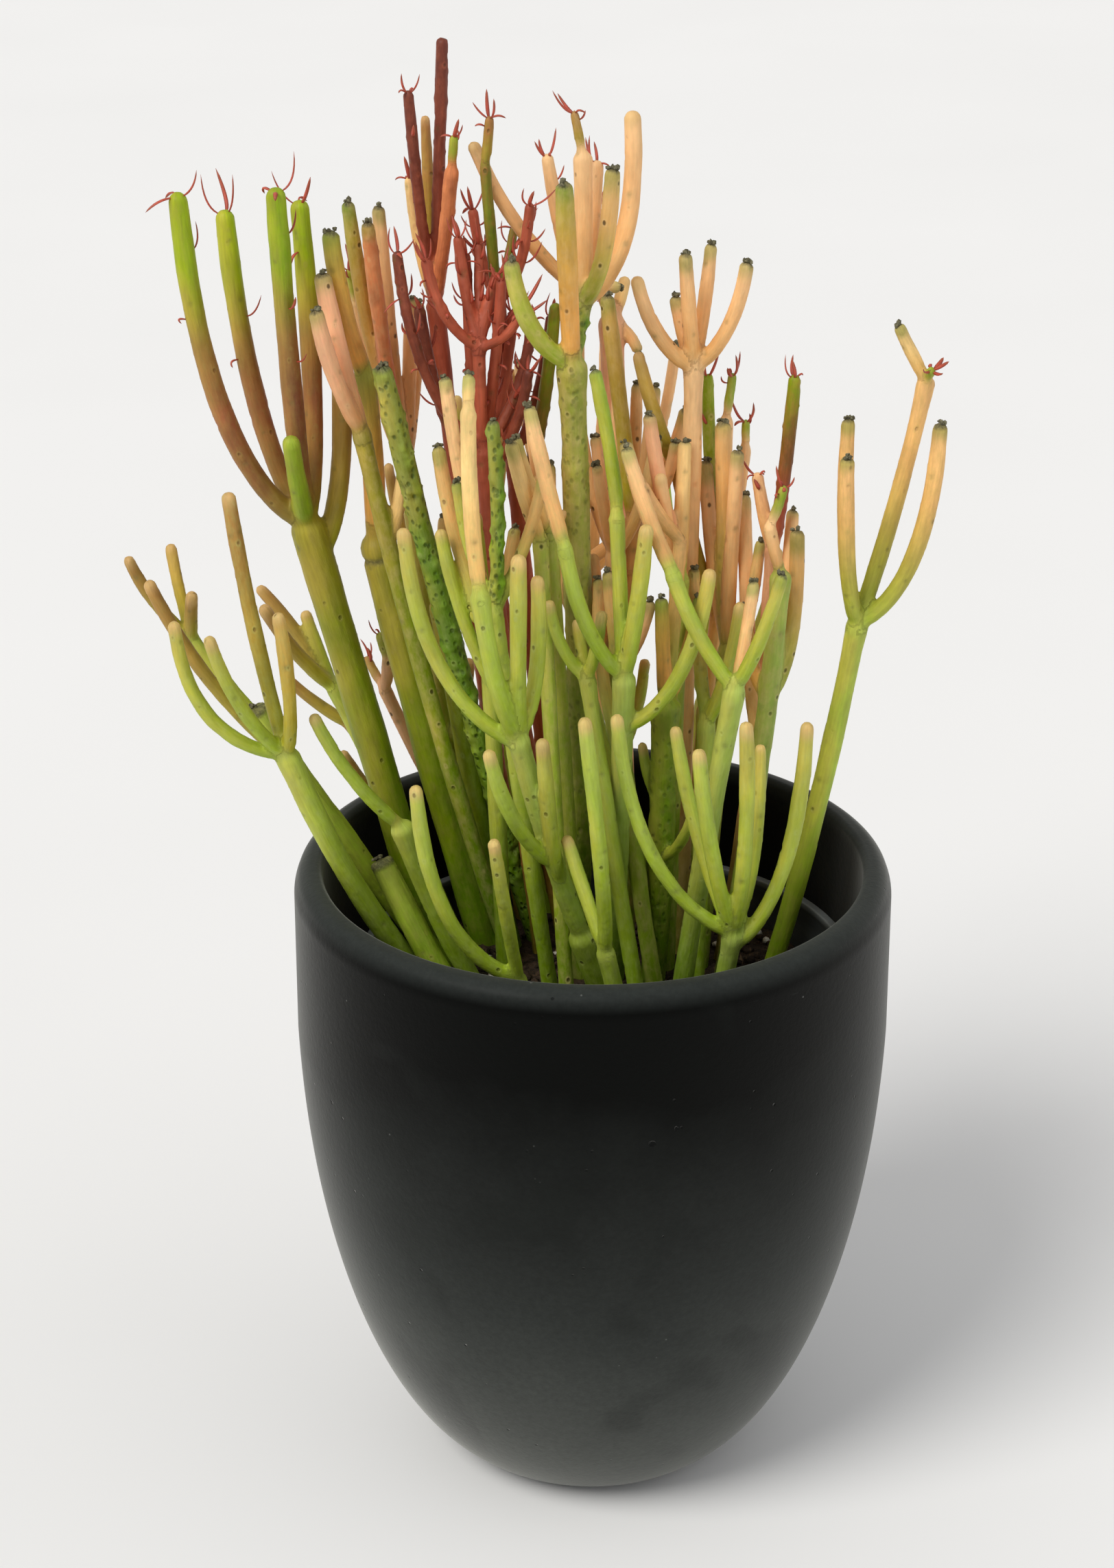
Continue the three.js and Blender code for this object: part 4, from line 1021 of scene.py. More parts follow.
def skin_cutting(made, indices):
    """Fillets the joints, roughens the skin and paints the colours of one cutting."""
    mesh = made.data
    places = vertices_of(mesh)
    edges = edges_of(mesh)
    own = [LIMBS[k] for k in indices]
    gaps = np.stack([project(limb, places)[0] - limb["radius"] for limb in own])
    if len(own) > 1:
        second = np.sort(gaps, axis=0)[1]
        joint = 1 - smoothstep(0.6, 2.4, second)
        places = relax(places, edges, 0.5 * joint, 5)
    places = relax(places, edges, np.full(len(places), 0.3), 1)
    # Each limb paints the whole cutting, and every vertex blends the limbs it lies on.
    weights, layers, grain = [], [], np.zeros_like(places)
    best = np.full(len(places), np.inf)
    for k, limb in zip(indices, own):
        gap, where, out = project(limb, places)
        gap -= limb["radius"]
        heading = (limb["path"][-1] - limb["path"][0]) / np.linalg.norm(limb["path"][-1] - limb["path"][0])
        side = np.cross(heading, [0.3, 1.0, 0.2])
        side /= np.linalg.norm(side)
        across = np.stack([out @ side, out @ np.cross(heading, side)], axis=1)
        angle = np.arctan2(across[:, 1], across[:, 0])
        weights.append(np.exp(-np.clip(gap, -1, 30) / BLEND))
        layers.append(np.column_stack(limb_skin(limb, LIMBS, where, angle, places, out, 17 * k + 3)))
        nearer = gap < best
        best[nearer] = gap[nearer]
        grain[nearer] = np.column_stack([across * limb["radius"], where + 37 * k])[nearer]
    weights = np.stack(weights)
    weights /= weights.sum(axis=0)
    painted = sum(weight[:, None] * layer for weight, layer in zip(weights, layers))
    colour, scab, warts, lift = painted[:, :3], painted[:, 3:4], painted[:, 4:5], painted[:, 5:]
    set_vertices(mesh, places)
    set_vertices(mesh, places + normals_of(mesh) * lift)
    grey = colour @ GREY_SHARES
    colour = (grey + (colour - grey) * VIVID) * BRIGHT
    colour = colour + (SCAB - colour) * 0.8 * scab
    paint_attribute(mesh, "skin", np.hstack([np.clip(colour, 0, 1), scab]))
    paint_attribute(mesh, "grain", grain * MM)
    paint_attribute(mesh, "trait", np.hstack([warts, warts, warts]))


# ---------------------------------------------------------------- materials

# Where the planter's skin is chipped, in metres, and how wide each chip is.
CHIPS = [
    ((0.020, -0.108, 0.186), 0.0026), ((0.028, -0.106, 0.191), 0.0020),
    ((-0.094, -0.056, 0.173), 0.0015), ((-0.062, -0.084, 0.120), 0.0012), ((0.024, -0.105, 0.147), 0.0009),
]


def shader_colour(colour):
    """An RGBA value from a hex code, a grey or a linear colour."""
    if isinstance(colour, str):
        colour = hex_colour(colour)
    elif isinstance(colour, (int, float)):
        colour = (colour,) * 3
    return (*colour, 1)


class Graph:
    """A short way to write a node material."""

    def __init__(self, name):
        self.material = bpy.data.materials.new(name)
        self.material.use_nodes = True
        self.tree = self.material.node_tree
        self.shader = self.tree.nodes["Principled BSDF"]

    def node(self, kind, **settings):
        made = self.tree.nodes.new(kind)
        for key, value in settings.items():
            setattr(made, key, value)
        return made

    def feed(self, socket, value):
        if isinstance(value, bpy.types.NodeSocket):
            self.tree.links.new(value, socket)
        else:
            socket.default_value = value

    def set(self, **values):
        for key, value in values.items():
            self.feed(self.shader.inputs[key.replace("_", " ")], value)

    def attribute(self, name, output="Color"):
        return self.node("ShaderNodeAttribute", attribute_name=name).outputs[output]

    def object_place(self):
        return self.node("ShaderNodeTexCoord").outputs["Object"]

    def scaled(self, vector, scale):
        mapping = self.node("ShaderNodeMapping")
        self.feed(mapping.inputs["Vector"], vector)
        mapping.inputs["Scale"].default_value = scale
        return mapping.outputs["Vector"]

    def noise(self, vector, scale, detail=4.0, roughness=0.55):
        made = self.node("ShaderNodeTexNoise")
        self.feed(made.inputs["Vector"], vector)
        made.inputs["Scale"].default_value = scale
        made.inputs["Detail"].default_value = detail
        made.inputs["Roughness"].default_value = roughness
        return made.outputs["Fac"]

    def cells(self, vector, scale, feature="F1"):
        made = self.node("ShaderNodeTexVoronoi", feature=feature)
        self.feed(made.inputs["Vector"], vector)
        made.inputs["Scale"].default_value = scale
        return made.outputs["Distance"]

    def ramp(self, value, *stops):
        made = self.node("ShaderNodeValToRGB")
        self.feed(made.inputs["Fac"], value)
        elements = made.color_ramp.elements
        while len(elements) < len(stops):
            elements.new(0.5)
        for element, (place, colour) in zip(elements, stops):
            element.position = place
            element.color = shader_colour(colour)
        return made.outputs["Color"]

    def mix(self, share, a, b, blend="MIX"):
        made = self.node("ShaderNodeMix", data_type="RGBA", blend_type=blend)
        self.feed(made.inputs[0], share)
        for socket, value in ((made.inputs[6], a), (made.inputs[7], b)):
            self.feed(socket, value if isinstance(value, bpy.types.NodeSocket) else shader_colour(value))
        return made.outputs[2]

    def math(self, operation, a, b):
        made = self.node("ShaderNodeMath", operation=operation)
        self.feed(made.inputs[0], a)
        self.feed(made.inputs[1], b)
        return made.outputs[0]

    def times(self, a, b):
        return self.math("MULTIPLY", a, b)

    def plus(self, a, b):
        return self.math("ADD", a, b)

    def minus(self, a, b):
        return self.math("SUBTRACT", a, b)

    def spread(self, value, low, high):
        made = self.node("ShaderNodeMapRange")
        self.feed(made.inputs["Value"], value)
        made.inputs["To Min"].default_value = low
        made.inputs["To Max"].default_value = high
        return made.outputs["Result"]

    def bump(self, height, distance, strength=1.0, normal=None):
        made = self.node("ShaderNodeBump")
        self.feed(made.inputs["Height"], height)
        made.inputs["Distance"].default_value = distance
        made.inputs["Strength"].default_value = strength
        if normal is not None:
            self.feed(made.inputs["Normal"], normal)
        return made.outputs["Normal"]


def stem_material(name, fleck, streak, waxy, pitted):
    """Succulent skin: painted colours, fine streaks along the shoot, dark pits and a waxy bloom."""
    g = Graph(name)
    skin = g.attribute("skin")
    scab = g.attribute("skin", "Alpha")
    grain = g.attribute("grain", "Vector")
    warts = g.attribute("trait", "Fac")
    streaks = g.noise(g.scaled(grain, (1100, 1100, 90)), 1.0, 4)
    mottle = g.noise(g.scaled(grain, (380, 380, 200)), 1.0, 5, 0.65)
    colour = g.mix(0.7, skin, g.ramp(streaks, (0.3, streak[0]), (0.7, streak[1])), "MULTIPLY")
    colour = g.mix(g.ramp(mottle, (0.4, 0.0), (0.8, 0.4)), colour, fleck)
    shade = g.ramp(g.noise(g.scaled(grain, (170, 170, 60)), 1.0, 3), (0.3, 0.84), (0.7, 1.12))
    colour = g.mix(1.0, colour, shade, "MULTIPLY")
    spot = g.cells(g.scaled(grain, (170, 170, 130)), 1.0)
    chosen = g.ramp(g.noise(g.scaled(grain, (95, 95, 70)), 1.0, 1), (0.46, 0.0), (0.56, 1.0))
    pit = g.times(g.ramp(spot, (0.07, 1.0), (0.14, 0.0)), chosen)
    halo = g.times(g.ramp(spot, (0.10, 0.0), (0.16, 0.6), (0.24, 0.0)), chosen)
    colour = g.mix(g.times(halo, 0.5), colour, fleck)
    colour = g.mix(g.times(pit, pitted), colour, "4A3A1C")
    dimple = g.cells(g.scaled(grain, (420, 420, 300)), 1.0)
    dark = g.times(g.ramp(dimple, (0.15, 1.0), (0.38, 0.0)), warts)
    colour = g.mix(g.times(dark, 0.6), colour, "34501A")
    crust = g.noise(g.scaled(grain, (900, 900, 900)), 1.0, 5, 0.7)
    colour = g.mix(scab, colour, g.mix(1.0, colour, g.ramp(crust, (0.35, 0.4), (0.7, 1.35)), "MULTIPLY"))
    rough = g.spread(g.plus(mottle, g.times(scab, 0.9)), waxy, waxy + 0.32)
    height = g.plus(g.times(streaks, 0.3), g.times(mottle, 0.7))
    height = g.minus(height, g.plus(g.times(pit, 0.9), dark))
    height = g.plus(height, g.times(g.times(crust, scab), 1.5))
    g.set(Base_Color=colour, Roughness=rough, Normal=g.bump(height, 0.0006, 0.8))
    g.set(Subsurface_Weight=0.05, Subsurface_Scale=0.0015, Specular_IOR_Level=0.35, Coat_Weight=0.04)
    g.set(Subsurface_Radius=(1.0, 0.7, 0.25), Coat_Roughness=0.35)
    return g.material


def crust_material():
    """Dry, crumbly grey-green ends where old growth died back."""
    g = Graph("dried_tips")
    place = g.object_place()
    clumps = g.noise(place, 700, 5, 0.7)
    colour = g.ramp(clumps, (0.3, "332E24"), (0.5, "6C6850"), (0.72, "A49E80"))
    g.set(Base_Color=colour, Roughness=g.spread(clumps, 0.8, 0.95), Normal=g.bump(clumps, 0.0006, 1.0))
    g.set(Specular_IOR_Level=0.2)
    return g.material


def planter_material():
    """Matt black cast stone, finely pitted, with dust, scuffs and a few chips; painted greyer low down as a
    painted reflection of the pale floor, and with a painted highlight on the lip.
    """
    g = Graph("planter_charcoal")
    place = g.object_place()
    split = g.node("ShaderNodeSeparateXYZ")
    g.feed(split.inputs[0], place)
    up = g.math("DIVIDE", split.outputs["Z"], HEIGHT * MM)
    cloud = g.noise(place, 14, 5)
    fine = g.noise(place, 420, 4, 0.7)
    # painted reflection: the stone is painted lighter towards the bottom in place of light thrown up from
    # the pale floor; the cloud noise adds uneven tone
    painted_reflection_height = g.plus(up, g.times(g.minus(cloud, 0.5), 0.3))
    base = g.ramp(painted_reflection_height, (0.0, "4C4F4B"), (0.45, "2A2D2B"), (0.82, "030403"))
    # painted highlight: the top of the lip is painted lighter where it catches the light
    lip = g.ramp(up, (0.97, 0.0), (0.995, 0.75))
    base = g.mix(lip, base, "343836")
    colour = g.mix(0.5, base, g.ramp(fine, (0.3, 0.7), (0.75, 1.35)), "MULTIPLY")
    stain = g.ramp(g.noise(place, 26, 2, 0.4), (0.60, 0.0), (0.66, 1.0))
    colour = g.mix(g.times(stain, 0.35), colour, "161917")
    pits = g.cells(place, 210)
    rare = g.ramp(g.noise(place, 60, 2), (0.60, 0.0), (0.68, 1.0))
    pit = g.times(g.ramp(pits, (0.05, 1.0), (0.14, 0.0)), rare)
    for chip, wide in CHIPS:
        away = g.node("ShaderNodeVectorMath", operation="DISTANCE")
        g.feed(away.inputs[0], place)
        away.inputs[1].default_value = chip
        edge = g.plus(g.math("DIVIDE", away.outputs["Value"], wide), g.times(g.noise(place, 260, 3), 1.6))
        pit = g.math("MAXIMUM", pit, g.ramp(g.times(edge, 0.4), (0.50, 1.0), (0.56, 0.0)))
    colour = g.mix(g.times(pit, 0.85), colour, "060707")
    dust_where = g.ramp(g.noise(place, 33, 3), (0.58, 0.0), (0.72, 1.0))
    dust = g.times(g.ramp(g.cells(place, 130), (0.02, 1.0), (0.06, 0.0)), dust_where)
    colour = g.mix(g.times(dust, 0.55), colour, "8E908C")
    scuff = g.noise(g.scaled(place, (30, 30, 190)), 1.0, 5, 0.7)
    scuffed = g.times(g.ramp(scuff, (0.66, 0.0), (0.74, 1.0)), g.ramp(cloud, (0.55, 0.0), (0.66, 0.4)))
    colour = g.mix(scuffed, colour, "3C403E")
    rough = g.spread(g.plus(g.times(fine, 0.5), g.times(stain, -0.3)), 0.40, 0.62)
    height = g.minus(g.times(fine, 0.25), pit)
    g.set(Base_Color=colour, Roughness=rough, Normal=g.bump(height, 0.0006, 0.7), Specular_IOR_Level=0.05)
    g.set(Sheen_Weight=0.36, Sheen_Roughness=0.36, Sheen_Tint=(0.88, 0.88, 0.83, 1.0))
    return g.material


def pot_material():
    """Thin dark plastic, paler in patches along the top of its rim."""
    g = Graph("nursery_pot_plastic")
    place = g.object_place()
    split = g.node("ShaderNodeSeparateXYZ")
    g.feed(split.inputs[0], place)
    rim = g.math("DIVIDE", g.minus(split.outputs["Z"], (RIM - 3) * MM), 3 * MM)
    haze = g.noise(place, 60, 5, 0.65)
    lines = g.noise(g.scaled(place, (20, 20, 900)), 1.0, 3)
    colour = g.ramp(haze, (0.3, "26292A"), (0.75, "3A3E3F"))
    edge = g.times(g.ramp(rim, (0.1, 0.0), (0.8, 1.0)), g.spread(haze, 0.35, 0.9))
    colour = g.mix(edge, colour, "8C9294")
    g.set(Base_Color=colour, Roughness=g.spread(haze, 0.38, 0.6), Normal=g.bump(lines, 0.0003, 0.4))
    g.set(Specular_IOR_Level=0.5)
    return g.material


def soil_material():
    """Dark, damp potting mix."""
    g = Graph("potting_mix")
    place = g.object_place()
    clumps = g.noise(place, 150, 6, 0.7)
    grit = g.cells(place, 420)
    fibres = g.noise(g.scaled(place, (700, 90, 300)), 1.0, 4)
    colour = g.ramp(clumps, (0.3, "17110C"), (0.5, "33271C"), (0.75, "5A4632"))
    colour = g.mix(g.ramp(fibres, (0.62, 0.0), (0.7, 0.7)), colour, "7A6244")
    height = g.plus(clumps, g.times(grit, 0.5))
    g.set(Base_Color=colour, Roughness=g.spread(clumps, 0.75, 0.95), Normal=g.bump(height, 0.002, 1.0))
    g.set(Specular_IOR_Level=0.25)
    return g.material


def perlite_material():
    """Chalky white expanded grains, stained a little by the mix."""
    g = Graph("perlite_grains")
    place = g.object_place()
    stain = g.noise(place, 240, 4)
    foam = g.cells(place, 1900)
    colour = g.ramp(stain, (0.35, "A89C86"), (0.6, "E9E6DC"))
    g.set(Base_Color=colour, Roughness=g.spread(stain, 0.7, 0.9), Normal=g.bump(foam, 0.0004, 0.8))
    return g.material


def leaf_material():
    """Tiny waxy red leaves, darker at the base, brown and dry at some tips."""
    g = Graph("young_leaf_red")
    grain = g.attribute("grain", "Vector")
    split = g.node("ShaderNodeSeparateXYZ")
    g.feed(split.inputs[0], grain)
    along = split.outputs["Z"]
    cloud = g.noise(g.object_place(), 260, 3)
    colour = g.ramp(along, (0.0, "A0452E"), (0.5, "C05440"), (1.0, "9C5238"))
    colour = g.mix(0.5, colour, g.ramp(cloud, (0.3, 0.7), (0.7, 1.25)), "MULTIPLY")
    g.set(Base_Color=colour, Roughness=g.spread(cloud, 0.4, 0.6), Normal=g.bump(cloud, 0.0002, 0.6))
    g.set(Subsurface_Weight=0.15, Subsurface_Scale=0.001, Subsurface_Radius=(1.0, 0.3, 0.15))
    return g.material


# ---------------------------------------------------------------- vessels, soil and leaves

def turned(name, profile, sides, centre=(0, 0)):
    """A smooth lathe-turned body from [radius, height] points that start and end on the axis."""
    bm = bmesh.new()
    rings = []
    for radius, height in profile:
        count = 1 if radius < 1e-6 else sides
        ring = []
        for k in range(count):
            turn = 2 * math.pi * k / sides
            x, y = centre[0] + radius * math.cos(turn), centre[1] + radius * math.sin(turn)
            ring.append(bm.verts.new((x * MM, y * MM, height * MM)))
        rings.append(ring)
    for low, high in zip(rings, rings[1:]):
        for k in range(sides):
            n = (k + 1) % sides
            corners = [low[k % len(low)], low[n % len(low)], high[n % len(high)], high[k % len(high)]]
            bm.faces.new(list(dict.fromkeys(corners)))
    bmesh.ops.recalc_face_normals(bm, faces=bm.faces)
    return from_bmesh(bm, name)


def bezier(p0, p1, p2, p3, count):
    t = np.linspace(0, 1, count)[:, None]
    p0, p1, p2, p3 = (np.array(p, float) for p in (p0, p1, p2, p3))
    return p0 * (1 - t) ** 3 + 3 * p1 * t * (1 - t) ** 2 + 3 * p2 * t * t * (1 - t) + p3 * t**3


def rounded(corners, radius, steps=5):
    """An open outline with its inner corners rounded; corners are [x, y] points."""
    corners = [np.array(c, float) for c in corners]
    outline = [corners[0]]
    for before, corner, after in zip(corners, corners[1:], corners[2:]):
        back, on = before - corner, after - corner
        cut = min(radius, np.linalg.norm(back) / 2.2, np.linalg.norm(on) / 2.2)
        start = corner + back / np.linalg.norm(back) * cut
        end = corner + on / np.linalg.norm(on) * cut
        for k in range(steps + 1):
            t = k / steps
            outline.append(start * (1 - t) ** 2 + corner * 2 * t * (1 - t) + end * t * t)
    return outline + [corners[-1]]


def make_planter():
    """The egg-shaped shell: flat foot, bulging side, sloping rounded lip and hollow inside."""
    side = HEIGHT - LIP_DROP
    heel = (BASE_RADIUS + 4, 2)
    egg = bezier(heel, (RADIUS * 0.76, 20), (RADIUS * 0.985, side * 0.4), (RADIUS, side * 0.78), 48)
    inside = [(x - WALL, z) for x, z in egg if z > FLOOR + 8][::-1]
    lip = rounded([
        egg[-1], (RADIUS - 0.4, side - 3), (RADIUS - 2.4, side + LIP_DROP * 0.5),
        (RADIUS - 5.5, HEIGHT - 0.2), (MOUTH + 1.4, HEIGHT), (MOUTH, HEIGHT - 1.8), inside[0],
    ], 2.4)
    seat = POT_BOTTOM + np.hypot(*POT_CENTRE) + 1
    foot = rounded([(0, 0), (BASE_RADIUS, 0), heel, egg[1]], 1.5)
    well = [(seat + 2.5, FLOOR + 2.5), (seat, FLOOR), (0, FLOOR)]
    profile = [*foot[:-1], *egg[1:-1], *lip[1:-1], *inside, *well]
    made = turned("planter_shell", profile, 180)
    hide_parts("planter")
    return made


def make_pot():
    """The thin nursery pot with its rolled rim."""
    foot = POT_FOOT
    top, rim = POT_TOP, RIM
    profile = rounded([
        (0, foot), (POT_BOTTOM, foot), (top, rim - BEAD_HEIGHT), (top + POT_BEAD, rim - BEAD_HEIGHT + 1),
        (top + POT_BEAD, rim), (top - POT_WALL, rim), (top - POT_WALL, rim - BEAD_HEIGHT),
        (pot_inside(foot + POT_WALL), foot + POT_WALL), (0, foot + POT_WALL),
    ], 0.7)
    made = turned("nursery_pot_shell", profile, 144, POT_CENTRE)
    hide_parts("nursery_pot")
    return made


def blob(bm, centre, size, squash, seed, detail=1):
    """A small uneven lump."""
    made = bmesh.ops.create_icosphere(bm, subdivisions=detail, radius=1.0)["verts"]
    rng = np.random.default_rng(seed)
    turn = rng.uniform(0, 2 * math.pi)
    for vert in made:
        x, y, z = np.array(vert.co) * (1 + rng.uniform(-0.28, 0.28))
        x, y = x * math.cos(turn) - y * math.sin(turn), x * math.sin(turn) + y * math.cos(turn)
        vert.co = (np.array([x * size, y * size * rng.uniform(0.75, 1), z * size * squash]) + centre) * MM


def scatter(name, count, sizes, squash, seed, sink):
    """Lumps scattered over the soil, clear of the stems' feet."""
    rng = np.random.default_rng(seed)
    feet = np.array([limb["points"][0][:2] for limb in LIMBS if limb["parent"] < 0])
    reach = pot_inside(SOIL) - 2
    bm = bmesh.new()
    placed_count = 0
    while placed_count < count:
        angle, away = rng.uniform(0, 2 * math.pi), reach * math.sqrt(rng.uniform(0, 1))
        spot = POT_CENTRE + away * np.array([math.cos(angle), math.sin(angle)])
        size = rng.uniform(*sizes)
        if np.hypot(*(feet - spot).T).min() < 5 + size or away + size > reach:
            continue
        height = soil_height(away) + size * squash * sink
        blob(bm, np.array([*spot, height]), size, squash, int(rng.integers(1 << 30)))
        placed_count += 1
    return from_bmesh(bm, name)


def soil_height(away):
    share = min(1, away / pot_inside(SOIL))
    return SOIL + MOUND * (1 - share) ** 0.6 * 0.9


def make_soil():
    """The soil with its crumbly top, in place of the plain CAD solid."""
    edge = pot_inside(SOIL) - GAP
    low = POT_FOOT + POT_WALL + GAP
    bottom = [(0, low), (pot_inside(low) - GAP, low)]
    top = [(edge * k / 40, soil_height(edge * k / 40)) for k in range(40, 0, -1)]
    made = turned("soil_bed", [*bottom, *top, (0, SOIL + MOUND * 0.9)], 160, POT_CENTRE)
    places = vertices_of(made.data)
    up = smoothstep(SOIL - 1, SOIL + 0.2, places[:, 2])
    places[:, 2] += up * (1.1 * value_noise(places, 7, 5) + 0.7 * value_noise(places, 3, 6) - 0.3)
    set_vertices(made.data, places)
    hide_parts("potting_soil")
    return made


def add_leaf(bm, layer, base, heading, curl, length, width):
    """One narrow fleshy leaf, lens-shaped in section, that bends over into its curl."""
    stations = 9
    side = np.cross(heading, curl)
    side /= np.linalg.norm(side)
    rings = []
    for k in range(stations + 1):
        t = k / stations
        centre = base + heading * length * (t - 0.3 * t * t) + curl * length * 0.75 * t * t
        way = heading * (1 - 0.6 * t) + curl * 1.5 * t
        thick = np.cross(side, way / np.linalg.norm(way))
        taper = math.sqrt(max(0, 1 - (max(0, t - 0.45) / 0.55) ** 2))
        half = width * 0.5 * min(1, 0.55 + 1.6 * t) * taper + 0.06
        ring = []
        for across, out in ((1, 0), (0, 0.5), (-1, 0), (0, -0.5)):
            vert = bm.verts.new((centre + side * half * across + thick * half * out) * MM)
            vert[layer] = (across, out, t)
            ring.append(vert)
        rings.append(ring)
    for low, high in zip(rings, rings[1:]):
        for k in range(4):
            n = (k + 1) % 4
            bm.faces.new((low[k], low[n], high[n], high[k]))
    bm.faces.new(rings[0][::-1])
    bm.faces.new(rings[-1])


def limb_frame(limb, where):
    """The place, heading and a sideways direction of a limb at a distance along it."""
    centre = path_at(limb, np.array([where]))[0]
    heading = centre - path_at(limb, np.array([max(0, where - 3)]))[0]
    heading /= np.linalg.norm(heading)
    side = np.cross(heading, [0.2, 0.9, 0.1])
    return centre, heading, side / np.linalg.norm(side)


def leaf_whorl(bm, layer, limb, rng, count, length, where=None):
    """Leaves set round a limb at a distance along it, or at its tip."""
    total = limb["along"][-1]
    at_tip = where is None
    centre, heading, side = limb_frame(limb, total - 0.5 * limb["radius"] if at_tip else where)
    start = rng.uniform(0, 2 * math.pi)
    for k in range(count):
        turn = start + 2 * math.pi * k / count + rng.uniform(-0.4, 0.4)
        out = side * math.cos(turn) + np.cross(heading, side) * math.sin(turn)
        way = out + heading * rng.uniform(0.1, 1.1) if at_tip else out + heading * rng.uniform(-0.1, 0.7)
        way /= np.linalg.norm(way)
        curl = heading * rng.choice([-0.5, 0.8, 1.2])
        curl = curl + out * rng.uniform(-0.4, 0.2) + side * rng.uniform(-0.4, 0.4)
        seat = 0.3 if at_tip else 0.8
        add_leaf(bm, layer, centre + out * limb["radius"] * seat, way, curl,
                 length * rng.uniform(0.7, 1.15), rng.uniform(1.1, 1.5))


def make_crust(name, own):
    """Crumbs of dried growth on the tips that died back, or None where there are none."""
    bm = bmesh.new()
    for k, limb in enumerate(own):
        if limb["finish"] not in ("scab", "cut"):
            continue
        rng = rng_for(limb["stem"], k, 91)
        r = limb["radius"]
        sunk = 0.5 * r if limb["finish"] == "scab" else 0.3 * r
        centre, heading, side = limb_frame(limb, limb["along"][-1] - sunk)
        for _ in range(int(rng.integers(5, 9))):
            turn, away = rng.uniform(0, 2 * math.pi), rng.uniform(0, 0.62) * r
            out = side * math.cos(turn) + np.cross(heading, side) * math.sin(turn)
            up = math.sqrt(max(0.05, 1 - (away / r) ** 2)) * r * 0.5
            blob(bm, centre + out * away + heading * up, rng.uniform(0.45, 1.0), rng.uniform(0.7, 1.5),
                 int(rng.integers(1 << 30)))
    return from_bmesh(bm, name)


def make_leaves(name, own):
    """The leaves of one cutting, or None where it has none."""
    bm = bmesh.new()
    layer = bm.verts.layers.float_vector.new("grain")
    for k, limb in enumerate(own):
        rng = rng_for(limb["stem"], k, 77)
        finish = limb["finish"]
        total = limb["along"][-1]
        if finish == "whisker":
            leaf_whorl(bm, layer, limb, rng, 3, 13)
            for share in (0.55, 0.7, 0.85):
                leaf_whorl(bm, layer, limb, rng, 1, 9, total * (share + rng.uniform(-0.06, 0.06)))
        elif finish == "leaf":
            leaf_whorl(bm, layer, limb, rng, 4, 7)
            leaf_whorl(bm, layer, limb, rng, 1, 5, total * 0.8)
        elif finish == "leafy":
            leaf_whorl(bm, layer, limb, rng, 4, 8)
            for share in (0.45, 0.65, 0.82):
                leaf_whorl(bm, layer, limb, rng, 2, 7, total * (share + rng.uniform(-0.06, 0.06)))
    return from_bmesh(bm, name)


# ---------------------------------------------------------------- the studio

CAMERA_DISTANCE = 1200
CAMERA_HEIGHT = 23.9  # degrees above the horizon
TARGET = (-13.1, 0.0, 273.7)
LENS = 75.8
FLOOR_REACH = 6  # metres to each side


def make_camera():
    """The photograph's view."""
    camera = bpy.data.cameras.new("camera")
    camera.lens = LENS
    camera.sensor_width = 36
    camera.clip_start = 0.01
    made = new_object("camera", camera)
    rise = math.radians(CAMERA_HEIGHT)
    made.location = (
        TARGET[0] * MM,
        (TARGET[1] - CAMERA_DISTANCE * math.cos(rise)) * MM,
        (TARGET[2] + CAMERA_DISTANCE * math.sin(rise)) * MM,
    )
    made.rotation_euler = (math.pi / 2 - rise, 0, 0)
    bpy.context.scene.camera = made


def sun_light(name, toward, strength, softness, tint=(1, 1, 1)):
    """A broad, soft, even light that comes from a direction."""
    light = bpy.data.lights.new(name, "SUN")
    light.energy = strength
    light.angle = math.radians(softness)
    light.color = tint
    made = new_object(name, light)
    x, y, z = toward
    made.rotation_euler = (math.atan2(math.hypot(x, y), z), 0, math.atan2(y, x) + math.pi / 2)


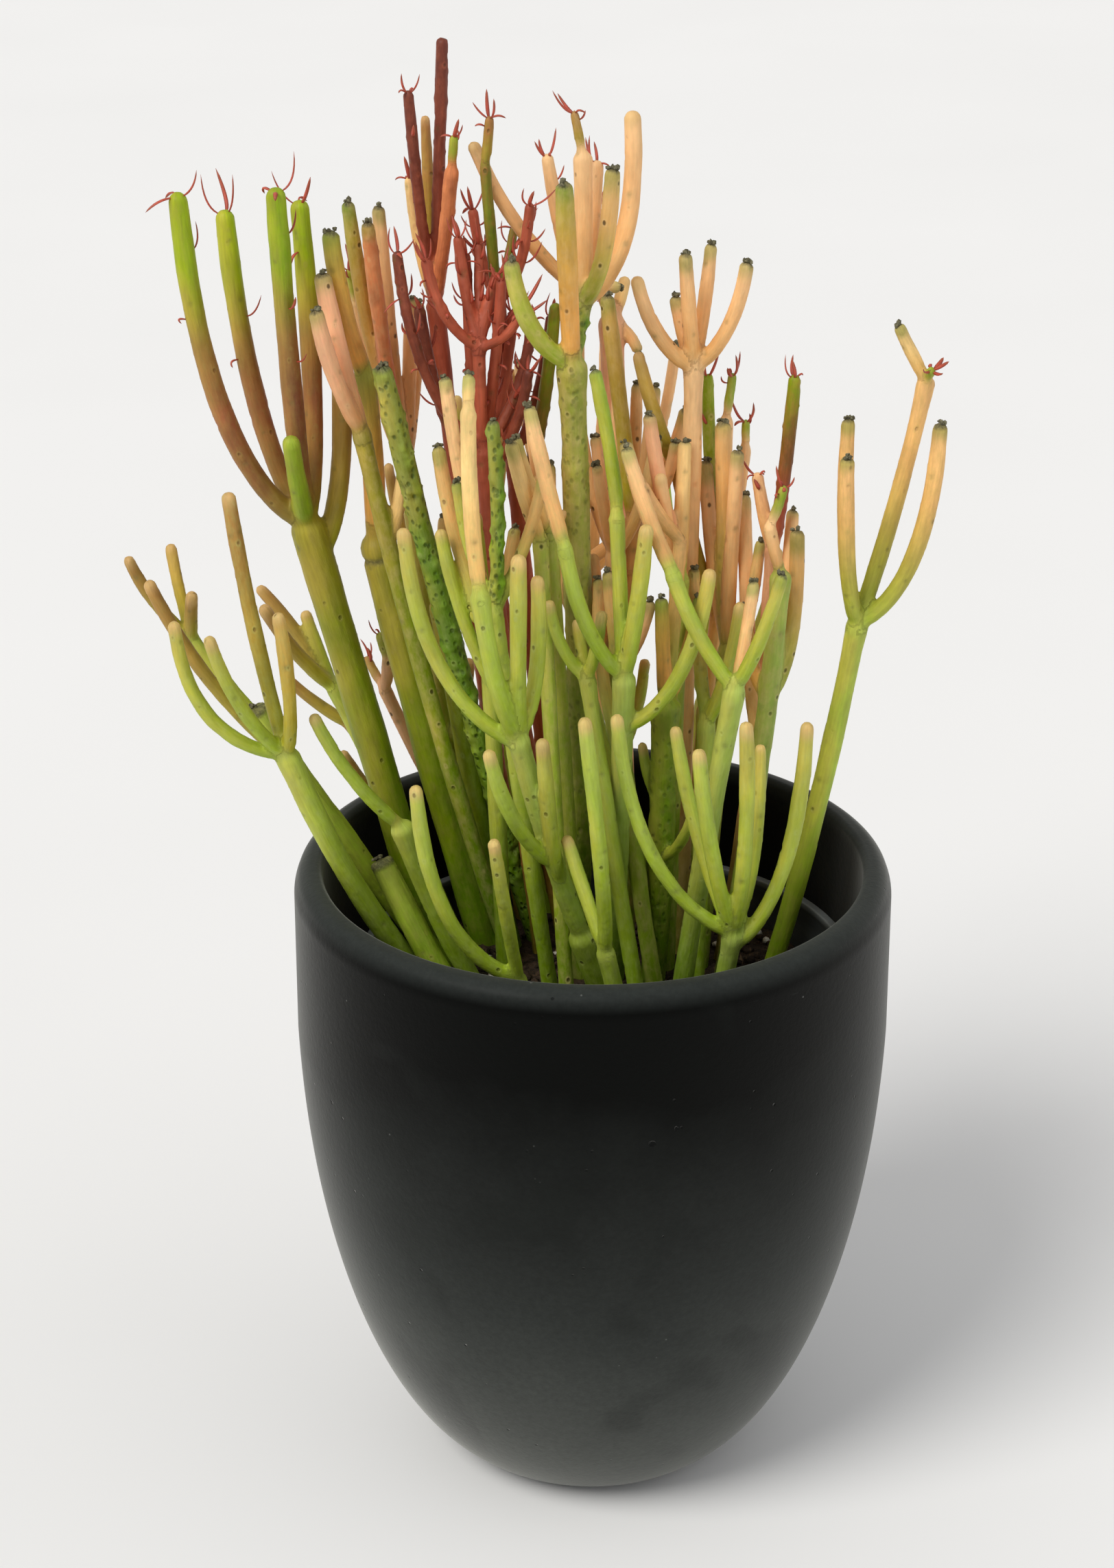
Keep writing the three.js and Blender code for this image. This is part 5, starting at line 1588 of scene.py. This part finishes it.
def make_studio():
    """A pale floor under a white sky, a soft key light from the left and a weak fill."""
    bm = bmesh.new()
    bmesh.ops.create_grid(bm, x_segments=1, y_segments=1, size=FLOOR_REACH)
    floor = from_bmesh(bm, "floor")
    g = Graph("floor_pale")
    g.set(Base_Color=g.ramp(g.noise(g.object_place(), 3, 2), (0.0, 0.86), (1.0, 0.9)), Roughness=0.9)
    floor.data.materials.append(g.material)
    world = bpy.data.worlds.new("studio")
    bpy.context.scene.world = world
    world.use_nodes = True
    background = world.node_tree.nodes["Background"]
    background.inputs["Color"].default_value = (1, 1, 1, 1)
    background.inputs["Strength"].default_value = 0.5
    sun_light("key", (-0.75, -0.75, 1.15), 2.0, 28, (1.0, 0.98, 0.94))
    sun_light("fill", (1.2, -0.5, 0.6), 0.35, 60)
    bpy.context.scene.view_settings.view_transform = "Standard"


# ---------------------------------------------------------------- the object

make_camera()
make_studio()

LIMBS = grow_limbs()
make_room(LIMBS)
lay_paths(LIMBS)

STEM_MATERIALS = {
    "green_stem": stem_material("skin_green", "B2BC70", (0.82, 1.12), 0.40, 0.55),
    "olive_stem": stem_material("skin_olive", "A8984E", (0.80, 1.12), 0.40, 0.5),
    "peach_stem": stem_material("skin_peach", "E6C68E", (0.86, 1.08), 0.44, 0.85),
    "red_stem": stem_material("skin_red", "C06A4A", (0.76, 1.14), 0.40, 0.5),
}


def finish_piece(made, material):
    """Gives a piece its material, and puts it on the root body."""
    made.data.materials.clear()
    made.data.materials.append(material)
    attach(made, "root")


finish_piece(make_planter(), planter_material())
finish_piece(make_pot(), pot_material())
SOIL_MATERIAL = soil_material()
finish_piece(make_soil(), SOIL_MATERIAL)
finish_piece(scatter("soil_crumbs", 900, (0.8, 2.6), 0.7, 11, 0.2), SOIL_MATERIAL)
finish_piece(scatter("perlite", 150, (0.7, 1.9), 0.85, 12, 0.5), perlite_material())

LEAF_MATERIAL = leaf_material()
CRUST_MATERIAL = crust_material()
for number, listed in enumerate(CUTTINGS):
    indices = [k for k, limb in enumerate(LIMBS) if limb["stem"] == number]
    own_limbs = [LIMBS[k] for k in indices]
    title = listed["name"].replace("stem_", "")
    piece = fused("cutting_" + title, own_limbs)
    skin_cutting(piece, indices)
    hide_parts(listed["name"])
    finish_piece(piece, STEM_MATERIALS[listed["slot"]])
    leaves = make_leaves("leaves_" + title, own_limbs)
    if leaves:
        finish_piece(leaves, LEAF_MATERIAL)
    crust = make_crust("crust_" + title, own_limbs)
    if crust:
        finish_piece(crust, CRUST_MATERIAL)
